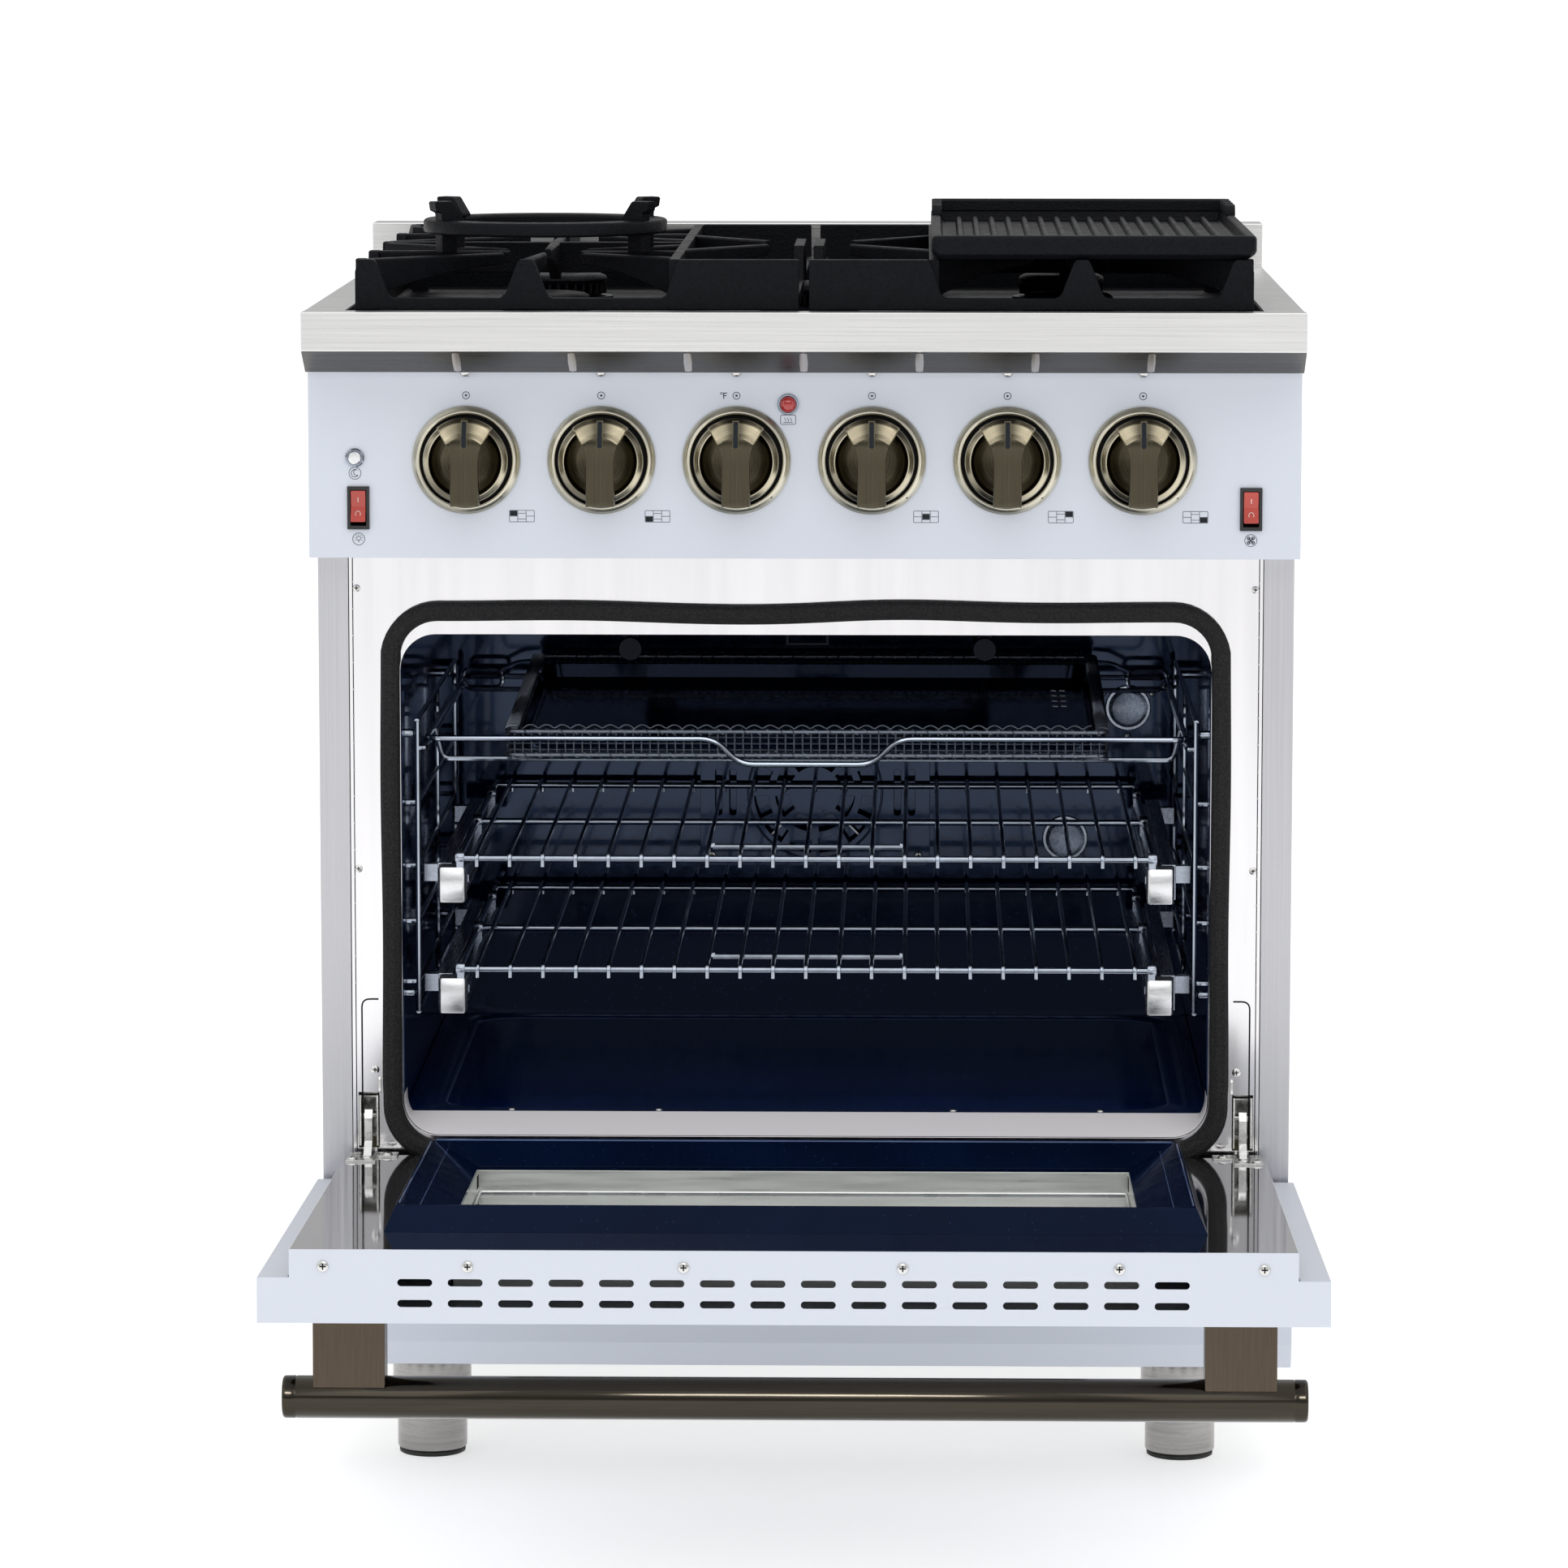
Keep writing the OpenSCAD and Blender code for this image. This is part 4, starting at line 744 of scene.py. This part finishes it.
outline = rounded(-322.8, 246.75, 322.8, 672.55, 37.25, 10)
path = []
for (x0, z0), (x1, z1) in zip(outline, outline[1:] + outline[:1]):
    steps = max(1, round(hypot(x1 - x0, z1 - z0) / 9))
    path += [(x0 + (x1 - x0) * k / steps, z0 + (z1 - z0) * k / steps) for k in range(steps)]
waved = []
for x, z in path:
    if z > 660 and abs(x) < 290:
        z += 2.0 * sin(x / 46) * cos(x / 171) - 1.2 * exp(-(x / 60) ** 2)
    if abs(x) > 318 and 300 < z < 640:
        x += 0.5 * sin(z / 38) * (1 if x > 0 else -1)
    waved.append((x, -5.5, z))
section = []
for k, (c, s) in enumerate(circle(0, 0, 1, 36)):
    ripple = 0.30 * cos(9 * 2 * pi * k / 36)
    section.append(((7.3 + ripple) * copysign(abs(c) ** 0.75, c), (5.1 + ripple) * copysign(abs(s) ** 0.75, s)))
f = Form()
f.tube(waved, 0, closed=True, section=section, up=(0, 1, 0))
f.done("gasket_rope", "gasket", "range", "door_gasket", angle=80)

f = Form()
f.even_pan([(316.4, 27, 499.4, 8, 272.8), (316.4, 27, 499.4, 8, 274), (288.6, 41.4, 482.6, 34, 274),
            (287, 43, 481, 33, 273.2), (285.6, 44.4, 479.6, 32, 270.8), (284, 46, 478, 31, 270.2),
            (262, 64, 458, 25, 270.2), (260.4, 65.6, 456.4, 24, 269.4), (259, 67, 455, 23, 267),
            (257.4, 68.6, 453.4, 22, 266.4), (215, 99, 405, 15, 266.4), (213, 101, 403, 14, 267),
            (211.4, 102.6, 401.4, 13, 269.4), (209.8, 104.2, 399.8, 12, 270)])
f.mat = 1
for x in (-212, -106, 0, 106, 212):
    f.loft([[(x - 5 * s, 457, 270.4), (x + 5 * s, 457, 270.4), (x, 464 - 5 * (1 - s), 272.0)] for s in (1, 0.5)])
f.mat = 0
for x in (-232, -116, 116, 232):
    f.screw((x, 34, 274), "z", 3.2, 1.2, (2, 1))
# Thin tubes in a lighter enamel along the floor's step edges paint the highlights these edges catch.
f.mat = 3
for x0, y0, x1, y1, r, z in ((-286.6, 43.4, 286.6, 480.6, 33, 272.6), (-260.6, 65.4, 260.6, 456.6, 24, 269.0),
                             (-211, 103, 211, 401, 13, 269.6)):
    f.tube([(x, y, z) for x, y in rounded(x0, y0, x1, y1, r)], 0.9, 6, closed=True)
f.done("oven_floor_pan", "floor shadow zinc bead", "range", "oven_floor", 0, angle=50)

f = Form()
for side in SIDES:
    for y in (34, 44, 250, 456, 466):
        f.tube([(side * 305, y, 352), (side * 305, y, 582)], 2.1)
    for z in (376, 424, 468, 518, 561):
        wall, rail, r, fillet = (305, 298, 1.9, 5) if z == 561 else (316.8, 305, 2.0, 6)
        f.tube([(side * x, y, z) for x, y in ((wall, 34), (rail, 34), (rail, 466), (wall, 466))], r, 8, fillet)
    for z in (352, 582):
        f.tube([(side * 305, 34, z), (side * 305, 466, z)], 2.0)
    for y, z in ((39, 366), (39, 572), (461, 366), (461, 572)):
        f.lathe([(0.01, 0), (3.4, 0), (3.4, 8), (2.2, 10.4), (0.01, 11)] if side < 0 else
                [(0.01, 0), (3.4, 0), (3.4, -8), (2.2, -10.4), (0.01, -11)], (side * 316.9, y, z), "x", 16)
f.done("ladder_wires", "chrome", "range", "rack_ladders")


# Fan cover and lamps

def arc_slot(r0, r1, start, end, z0, steps=8):
    """An arc-shaped hole about (0, z0) between two radii and two angles."""
    step = (end - start) / steps
    return arc(0, z0, r1, start, step, steps + 1) + arc(0, z0, r0, end, -step, steps + 1)


FAN_Z = 468
holes = [arc_slot(22, 34, 45 * k + 6, 45 * k + 39, FAN_Z) for k in range(8)]
holes += [arc_slot(40, 52, 30 * k + 4, 30 * k + 26, FAN_Z) for k in range(12)]
holes += [rounded(x - 3, FAN_Z - 20, x + 3, FAN_Z + 20, 2.9, 4) for x in (-82, -70, 70, 82)]
mesh = flat_piece([rounded(-97.5, 404.5, 97.5, 531.5, 7)] + holes, 482.2, 483.6, 0.25)
mesh.materials.append(M["cavity"])
install("fan_cover_plate", mesh, "range", "fan_cover")
f = Form()
f.loft([[(x, y, z) for x, z in rounded(-97.5 - g, 404.5 - g, 97.5 + g, 531.5 + g, 7)]
        for y, g in ((483, 0), (499.6, 0.4))], False, False)
f.tube([(x, 482.4, z) for x, z in circle(0, FAN_Z, 57, 48)], 1.1, 8, closed=True)
f.mat = 1
for x in (-88, 88):
    for z in (414, 522):
        f.screw((x, 482.3, z), "y", 3.6, 1.6, (1, 2))
f.done("fan_cover_edge", "cavity zinc shadow", angle=50)

f = Form()
for x, z in ((266, 539), (213, 427)):
    f.mat = 3
    f.lathe([(19.4, 0.2), (19.4, 2.2), (18.6, 3.2), (16.6, 3.2), (16.2, 2.0), (13.5, -30)], (x, 500, z), end=False)
    f.mat = 0
    f.lathe([(16.4, 2.0), (16.0, 5.5), (13.6, 8.4), (9, 9.8), (0.01, 10.2)], (x, 500, z), start=False)
for x, z in arc(266, 539, 24, 30, 120, 3):
    f.screw((x, 499.8, z), "y", 2.6, 1.4, (1, 2))
f.done("lamp_lenses", "lens zinc shadow glide", "range", "oven_lamps")


f = Form()
for low, high in (((-19, 88, 650), (19, 96, 654.6)), ((-17, 89, 638), (-14.6, 95, 650.6)),
                  ((14.6, 89, 638), (17, 95, 650.6)), ((-17, 89, 636.4), (17, 95, 638.6))):
    f.box(low, high)
f.done("broil_bracket", "burnt", bevel=0.5)


# Racks on their glides

for name, z in (("upper_rack", 474.5), ("lower_rack", 386.5)):
    f = Form()
    for y in (28, 245, 475):
        f.tube([(-270, y, z), (270, y, z)], 2.7, 10)
    f.tube([(-272, 28, z), (-272, 475, z)], 2.4)
    f.tube([(272, 28, z), (272, 475, z)], 2.4)
    for i in range(21):
        x = (i - 10) * 25.8
        f.tube([(x, 24.0, z - 6), (x, 24.0, z + 4.3), (x, 478.8, z + 4.3), (x, 478.8, z - 6)], 1.75, 8, 5)
    f.tube([(-75, 95, z + 0.2), (75, 95, z + 0.2)], 2.4)
    for x in (-75, 75):
        f.tube([(x, 95, z + 0.2), (x, 95, z + 3.4)], 2.2)
    f.mat = 1
    low = z - 20.5
    for side in SIDES:
        a, b = sorted((side * 267.4, side * 287.2))
        f.prism(rounded(a, low - 10.8, b, low + 10.8, 2.5, 3), 46, 434, "y")
        f.prism([(side * x, low + dz) for x, dz in ((266.8, -3), (267.6, -3), (267.6, 3), (266.8, 3))], 60, 420, "y")
        for y in (28, 245, 420):
            f.lathe([(5.2, -3.4), (5.4, -3), (5.4, 3), (5.2, 3.4)], (side * 271.4, y, z + 0.4), "x", 20)
            a, b = sorted((side * 268.4, side * 273.8))
            f.box((a, y - 4.6, low + 9), (b, y + 4.6, z + 0.5))
    f.mat = 2
    for side in SIDES:
        a, b = sorted((side * 267.2, side * 288.4))
        f.pan([(a + 0.6, 22.6, b - 0.6, 45, 2.2, low - 13.8), (a, 22, b, 45, 2.6, low - 13.0),
               (a, 22, b, 45, 2.6, low + 13.0), (a + 0.6, 22.6, b - 0.6, 45, 2.2, low + 13.8)])
    f.done(name + "_wires", "chrome glide block", name + "_body", name, angle=40)


# Basket, its tray and their carrier

Z = 569
f = Form()
f.tube([(-297, 462, Z), (-297, 31, Z), (-72, 31, Z), (-52, 31, Z - 20), (52, 31, Z - 20), (72, 31, Z), (297, 31, Z),
        (297, 462, Z)], 2.4, 10, 11, closed=True)
for y, z in ((92, Z - 23.6), (420, Z - 6.2)):
    f.tube([(-295, y, Z), (-289, y, z), (289, y, z), (295, y, Z)], 2.1, 8, 6)
for side in SIDES:
    f.tube([(side * x, 450, z) for x, z in ((297, 561), (264, 561), (264, 576), (297, 576))], 2.0, 8, 6, True)
    f.tube([(side * 265, 450, 575.5), (side * 251, 450, 582.5), (side * 237.5, 450, 583.6)], 1.8, 8, 5)
f.done("carrier_wires", "chrome", "basket_carrier", "carrier_frame")

DEEP, TALL, WIDE, PITCH = 388.4, 22.0, 237.0, 6.6
f = Form(TO_BASKET)
count_x, count_y = int(2 * WIDE / PITCH), int(DEEP / PITCH)
xs = [-WIDE + i * 2 * WIDE / count_x for i in range(count_x + 1)]
ys = [k * DEEP / count_y for k in range(count_y + 1)]
for across, along, turned in ((xs, ys, 0), (ys, xs, 1)):
    for i in range(1, len(across) - 1):
        first, last = along[0] + 0.8, along[-1] - 0.8
        run = [(first, TALL - 1), (first, 1.4)]
        run += [(along[k], 1.4 + (0.55 if (i + k + turned) % 2 else -0.55)) for k in range(1, len(along) - 1)]
        run += [(last, 1.4), (last, TALL - 1)]
        f.tube([(u, across[i], z) if turned else (across[i], u, z) for u, z in run], 0.55, 4)


def hoop(g, near, far, z, r, steps, fillet):
    """A wire ring round the basket, between X = -g and g."""
    f.tube([(-g, near, z), (g, near, z), (g, far, z), (-g, far, z)], r, steps, fillet, True)


for z in (6.2, 11.2, 16.2):
    hoop(WIDE - 0.9, 0.9, DEEP - 0.9, z, 0.5, 4, 3)
for z, grow in ((TALL - 1.2, 0.2), (2.0, 0.1)):
    hoop(WIDE + grow - 1.2, 1.2 - grow, DEEP - 1.2 + grow, z, 1.7, 8, 8)
# Twisted hem wire along the rim and the foot of each side.
for z in (TALL - 1.2, 2.0):
    corners = [(-WIDE + 1.2, 1.2), (WIDE - 1.2, 1.2), (WIDE - 1.2, DEEP - 1.2), (-WIDE + 1.2, DEEP - 1.2)]
    for (x0, y0), (x1, y1) in zip(corners, corners[1:] + corners[:1]):
        steps = int(hypot(x1 - x0, y1 - y0) / 1.6)
        path = []
        for k in range(3, steps - 2):
            a, t = k * 1.05, k / steps
            across = 2.1 * cos(a)
            path.append((x0 + (x1 - x0) * t + (across if x0 == x1 else 0),
                         y0 + (y1 - y0) * t + (across if y0 == y1 else 0), z + 2.1 * sin(a)))
        f.tube(path, 0.55, 4)
# A coil along the top of each side, and scallops of wire behind the front and rear rims.
for side in SIDES:
    f.tube([(side * (232.4 + 5.0 * cos(a)), 6 + a * 0.78, TALL + 0.4 + 1.5 * sin(a)) for a in
            (0.7 * k for k in range(int((DEEP - 12) / 0.78 / 0.7)))], 0.6, 5)
for y in (4.6, DEEP - 4.6):
    f.tube([(-224 + 2.0 * k, y, TALL + 0.2 + 3.2 * abs(sin(pi * k / 6.3))) for k in range(225)], 0.6, 5)
f.done("basket_mesh", "mesh", "basket_carrier", "fry_basket", angle=60)

f = Form(TO_BASKET)
g, d = 227.5, 379.0
f.even_pan([(g, 9.5, d, 16, 15.6), (g + 0.6, 8.9, d + 0.6, 16.5, 15.0), (g - 2, 11.5, d - 2, 15, 3.6),
            (g - 5, 14.5, d - 5, 13, 3.0), (g - 5, 14.5, d - 5, 13, 4.2), (g - 3.2, 12.7, d - 3.2, 14, 5),
            (g - 0.8, 10.3, d - 0.8, 15.5, 15.6)], False, False)
f.even_pan([(g - 5, 14.5, d - 5, 13, 3.2), (g - 5, 14.5, d - 5, 13, 4.2)])
f.mat = 1
for side in SIDES:
    for y in (235, 262, 289, 316):
        for dx in (0, 7):
            x = side * (200 + dx)
            f.prism([(x - 2.2, y - 3), (x + 2.2, y - 5), (x + 2.4, y + 3), (x - 1.8, y + 4)], 4.1, 4.4, "z")
f.done("tray_pan", "black_enamel galvanised", "basket_carrier", "basket_tray", 0, angle=50)


# Burners, grates, griddle and wok ring

TOP = COOKTOP_Z + GRATE_H

f = Form()
f.even_pan([(348.6, -77.6, 544.6, 14, 909.4), (348.0, -77.0, 544.0, 14, 909.4),
            (347.0, -76.0, 543.0, 13, 893.4), (345.5, -74.5, 541.5, 12, 892.4)], start=False)
f.done("cooktop_well", "cap", angle=50)

f = Form()
for x, y in BURNERS:
    at = (x, y, COOKTOP_Z)
    f.mat = 0
    f.lathe([(30, 0), (34.6, 0.3), (35, 1.2), (34.8, 2.6), (33.6, 4.2), (30.5, 5.8), (24, 6.7), (12, 7), (0.01, 7)],
            at, "z", 56)
    f.mat = 1
    for c, s in circle(0, 0, 1, 30):
        ridge = ((31.5, -0.9), (34.3, -0.9), (34.3, 0.9), (31.5, 0.9))
        f.loft([[(x + r * c - w * s, y + r * s + w * c, z) for r, w in ridge] for z in (900, 908.6)])
f.done("burner_cap_discs", "cap shadow", "range", "burner_caps")


def grate(name, sign):
    """One cast grate, drawn above the cooktop for the right side; sign -1 mirrors it."""
    f = Form(TO_ROW @ Matrix.Translation((0, 0, COOKTOP_Z)) @ Matrix.Diagonal((sign, 1, 1, 1)))
    x0, x1, y0, y1 = 3.8, 341.8, -72.0, 512.0
    wall = [(x0, 0), (x1, 0), (x1, 29), (339.5, 38.5), (328, 38.5), (325.5, 36), (317, 13), (315, 10.4),
            (312, 9.2), (232, 9.2), (229, 10.4), (227, 13), (218, 36), (216, 38.5), (207, 38.5), (205, 36),
            (196, 13), (194, 10.4), (191, 9.2), (109, 9.2), (106, 10.4), (104, 13), (96.5, 36), (94.5, 38.5),
            (x0, 38.5)]
    for low, high in ((y0, y0 + 8), (y1 - 8, y1)):
        f.prism(wall, low, high, "y")
    side = [(y0 + 7, 0), (y1 - 7, 0), (y1 - 7, 38.5), (y1 - 22, 38.5)]
    for y in (345, 205, 65):
        notch = [(24, 10), (15, 12), (10, 34), (8.5, 38.5)]
        side += [(y + dy, z) for dy, z in notch] + [(y - dy, z) for dy, z in reversed(notch)]
    side += [(y0 + 30, 10), (y0 + 26, 13), (y0 + 22, 38.5), (y0 + 7, 38.5)]
    f.prism(side, x1 - 8, x1, "x")
    for y in (65, 205, 345):
        f.box((x1 - 1, y - 7, 0), (x1 + 1.6, y + 7, 22))
    inner = [(y0 + 7, 0), (157, 0), (161, 3), (161, 24), (249, 24), (249, 3), (253, 0), (y1 - 7, 0), (y1 - 7, 12),
             (270, 12), (262, 38.5), (148, 38.5), (140, 12), (y0 + 7, 12)]
    f.prism(inner, x0, x0 + 8, "x")
    beam = [(y0 + 6, 9), (y1 - 6, 9), (y1 - 6, 38.5), (y0 + 6, 38.5)]
    f.prism(beam, 95.2, 102.8, "x")
    f.prism([(102, 14), (x1 - 7, 14), (x1 - 7, 38.4), (102, 38.4)], 201.2, 208.8, "y")
    for x in (x0, x1 - 14):
        for y in (y0, y1 - 14):
            f.box((x + 0.3, y + 0.3, -17.9), (x + 13.7, y + 13.7, 1))
    top, thick, tip = GRATE_H - 0.1, (9, 5.4), (GRATE_H - 30, GRATE_H - 9)
    for y in (65, 345):
        f.taper((x1 - 4, y), (232, y), thick, (top, top), tip)
        f.taper((99, y), (176, y), thick, (top, top), tip)
        for d in (-1, 1):
            f.taper((x1 - 6, y + d * 126), (236, y + d * 32), thick, (top, top), tip)
            f.taper((99, y + d * 100), (172, y + d * 32), thick, (top, top), tip)
    for a, b in (((212, y0 + 4), (204, 37)), ((204, 205), (204, 93)), ((204, 205), (204, 317)),
                 ((204, y1 - 4), (204, 373))):
        f.taper(a, b, thick, (top, top), tip)
    for d in (-1, 1):
        f.taper((99, 205 + d * 120), (34, 205 + d * 30), thick, (top, top), tip)
    return f.done(name + "_casting", "iron", name + "_body", name, 0.9, angle=28)


grate("left_grate", -1)
grate("right_grate", 1)

low, high = TOP + 0.4, TOP + 18.4
x0, x1, y0, y1 = 97.0, 344.0, -72.0, 410.0


def inset(g, z, r=7.0):
    return (x0 + g, y0 + g, x1 - g, y1 - g, max(r - g * 0.4, 1.5), z)


f = Form()
f.pan([inset(6, low), inset(1.2, low + 3.5), inset(0, low + 6), inset(0, high - 3), inset(0.8, high - 0.8),
       inset(2.2, high), inset(6.2, high), inset(7.4, high - 1), inset(9, high - 9), inset(11, high - 10)])
for i in range(16):
    x = (x0 + x1) / 2 + (i - 7.5) * 13.4
    f.prism([(x - 3.1, high - 10.2), (x + 3.1, high - 10.2), (x + 1.9, high - 6.4), (x + 1.1, high - 5.6),
             (x - 1.1, high - 5.6), (x - 1.9, high - 6.4)], y0 + 20, y1 - 24, "y")
f.prism([(y1 - 9, high - 2), (y1 - 0.4, high - 2), (y1 - 0.4, high + 6.6), (y1 - 2, high + 8), (y1 - 6.5, high + 8),
         (y1 - 8.4, high + 6.5)], x0 + 2, x1 - 2, "x")
f.prism([(y0 + dy, high - dz) for dy, dz in ((11, 10.2), (14, 7.4), (17, 7.4), (20, 10.2))], x0 + 16, x1 - 16, "x")
for x in (x0 + 4.6, x1 - 4.6):
    for k in range(4):
        y = y1 - 20 - k * 34
        f.loft([[(u, y + 8.6 * v, high - 1 + 9.6 * w) for v, w in arc(0, 0, 1, 0, 15, 13)] for u in (x - 4, x + 4)])
f.done("griddle_casting", "iron", "griddle_body", "griddle", 0.8, angle=28)

f = Form()
cx, cy = BURNERS[0]
f.shell([(77.2, 14.2), (93.6, 14), (95, 15.4), (95, 22.8), (94.2, 24.4), (92.4, 25), (80, 25), (78, 24.2),
         (77, 22.6), (77, 15)],
        (cx, cy, low), "z")
f.shell([(77, 15), (77.2, 14.2)], (cx, cy, low), "z")
outline = [(79.5, 0), (92.5, 0), (92.5, 24), (93, 30.6), (97.4, 32.6), (98.4, 38.6), (97.4, 39.8), (84, 39.8),
           (82.8, 39.2), (74, 26.6), (74, 24.2), (79.5, 24.2)]
for turn in (30, 150, 210, 330):
    c, s = cos(radians(turn)), sin(radians(turn))
    f.loft([[(cx + u * c - w * s, cy + u * s + w * c, low + z) for u, z in outline] for w in (-6, 6)])
f.done("wok_ring_casting", "iron", "wok_ring_body", "wok_ring", 0.9, angle=28)


# Door

f = Form(TO_DOOR)
half = 369.5
end = [(0.01, 0), (14.2, 0), (15.3, 1.1), (15.5, 2.4), (15.5, 9.0), (15.1, 9.3), (15.1, 9.9), (15.5, 10.2)]
f.lathe([(r, d - half) for r, d in end] + [(r, half - d) for r, d in reversed(end)],
        (0, HANDLE_Y, HANDLE_Z), "x", 64)
handle_bar = f.done("handle_bar", "brass_x", "door", "door_handle", angle=60)

f = Form(TO_DOOR)
for x in (-334.7, -231.7, -77.9, 77.9, 231.7, 334.7):
    f.screw((x, -23.5, 715), "z", 4.2, 1.7)
for side in SIDES:
    for dx, dz in ((-16, 4), (9.5, 31)):
        f.screw((side * (HINGE_X + dx), -10, 238.6 + dz), "-y", 4.0, 1.9)
f.done("door_screw_heads", "zinc shadow", "door", "door_screws")

# Painted highlights on the window panel: thin tubes in a lighter enamel, a strip along its oven-side rim and two
# lines down each side rim.
f = Form(TO_DOOR)
f.tube([(-285, 6.9, 283), (285, 6.9, 283)], 1.1)
for side in SIDES:
    f.tube([(side * 288, 6.9, 292), (side * 288, 6.9, 612)], 0.7)
    f.tube([(side * 275, 1.6, 296), (side * 275, 1.6, 608)], 0.7)
f.done("panel_highlight_lines", "bead", "door")

# Slots at the corners of the window's sheet-metal trunk, and the bright lip round the glass.
f = Form(TO_DOOR)
for side in SIDES:
    for z in (322, 332, 570, 580):
        a, b = sorted((side * 250.2, side * 249.6))
        f.box((a, -24, z - 2.5), (b, -14, z + 2.5))
f.done("trunk_slots", "shadow", "door")
f = Form(TO_DOOR)
x, low, high = 248.6, 317.4, 584.6
f.tube([(-x, -28.7, low), (x, -28.7, low), (x, -28.7, high), (-x, -28.7, high)], 1.1, 6, 2, True)
f.done("glass_clip", "galvanised", "door")

# A thin dark line in the shadow material where the liner meets the outer skin.
f = Form(TO_DOOR)
for side in SIDES:
    f.tube([(side * 359.4, -31.4, 230), (side * 359.4, -31.4, 712)], 0.6, 6)
f.done("liner_seams", "shadow", "door")

# Springs and rivets of the hinges.
f = Form(TO_DOOR)
for side in SIDES:
    x = side * HINGE_X
    f.tube([(u, v, 262 + 60 * k / 130) for k, (u, v) in enumerate(arc(x, -23, 2.2, 0, 36, 131))], 0.5, 5)
    f.lathe([(0.01, -6.4), (2.6, -6.4), (2.6, 6.4), (0.01, 6.4)], (x, -19, 238.6), "x", 20)
f.done("hinge_springs", "zinc", "door")

f = Form()
for side in SIDES:
    x = side * HINGE_X
    f.lathe([(0.01, -8.6), (2.6, -8.6), (2.6, -7.6), (2.6, 7.6), (2.6, 8.6), (0.01, 8.6)], (x, 11, 273), "x", 20)
    for z in (256, 286):
        f.lathe([(0.01, -8.4), (1.8, -8.2), (1.8, 8.2), (0.01, 8.4)], (x, 24, z), "x", 16)
    f.slab(rounded(-2.6, 292, 9, 306, 3, 4), x - side * 9.5, x - side * 7.8)
f.done("receiver_pins", "zinc")


# Stage: floor, light and camera

mesh = bpy.data.meshes.new("floor")
mesh.from_pydata([(-160, -160, 0), (160, -160, 0), (160, 160, 0), (-160, 160, 0)], [], [(0, 1, 2, 3)])
floor = bpy.data.objects.new("floor", mesh)
s = Shader(Roughness=0.6, Specular_IOR_Level=0.2, Emission_Strength=0.56, Emission_Color=(1, 1, 1, 1))
s.set("Base Color", s.ramp(s.noise(3, 3), (0.3, (0.70, 0.70, 0.70)), (0.7, (0.72, 0.72, 0.72))))
s.material.cycles.emission_sampling = "NONE"
mesh.materials.append(s.material)
show(floor)


def lamp(name, place, target, size, watts, colour=(1, 1, 1)):
    data = bpy.data.lights.new(name, "AREA")
    data.shape = "RECTANGLE"
    data.size, data.size_y = size
    data.energy = watts
    data.color = colour
    obj = bpy.data.objects.new(name, data)
    obj.location = place
    obj.rotation_euler = (Vector(target) - Vector(place)).to_track_quat("-Z", "Y").to_euler()
    show(obj)
    return obj


lamp("soft_top", (0.2, -0.9, 3.4), (0, -0.1, 0.6), (3.2, 2.4), 26)
lamp("soft_left", (-2.6, -2.2, 1.9), (0, -0.1, 0.6), (1.0, 2.4), 10)
lamp("soft_right", (2.6, -2.4, 1.9), (0, -0.1, 0.6), (1.0, 2.4), 8)
lamp("soft_front", (0.1, -4.6, 2.6), (0, -0.1, 0.5), (2.4, 1.2), 16)
# A strip that only the handle receives draws the long highlight on its bar.
strip = lamp("soft_strip", (0.0, -3.6, 2.1), (0, -0.5, 0.2), (3.0, 0.34), 75)
strip.light_linking.receiver_collection = bpy.data.collections.new("strip_receivers")
strip.light_linking.receiver_collection.objects.link(handle_bar)

world = bpy.data.worlds.new("studio")
world.use_nodes = True
tree = world.node_tree
tree.nodes.clear()
heading = add_node(tree, "ShaderNodeSeparateXYZ", {0: add_node(tree, "ShaderNodeTexCoord").outputs["Generated"]})
height = add_node(tree, "ShaderNodeMapRange", {0: heading.outputs[2], 1: -1.0})
sky = add_node(tree, "ShaderNodeValToRGB", {0: height.outputs[0]})
levels = ((0.0, 0.5), (0.5, 0.5), (0.6, 0.36), (0.72, 0.85), (1.0, 1.0))
while len(sky.color_ramp.elements) < len(levels):
    sky.color_ramp.elements.new(0.5)
for item, (position, level) in zip(sky.color_ramp.elements, levels):
    item.position = position
    item.color = (level, level, level, 1)
light = add_node(tree, "ShaderNodeBackground", {"Color": sky.outputs[0], "Strength": 1.0})
add_node(tree, "ShaderNodeOutputWorld", {0: light.outputs[0]})
SCENE.world = world
SCENE.view_settings.view_transform = "Standard"

view = bpy.data.cameras.new("photo_view")
view.lens, view.sensor_width, view.clip_end = 154.2, 36.0, 400.0
camera = bpy.data.objects.new("photo_view", view)
camera.location = (0.0896, -5.239, 1.2099)
camera.rotation_euler = (radians(82.609), 0, radians(1.174))
show(camera)
SCENE.camera = camera
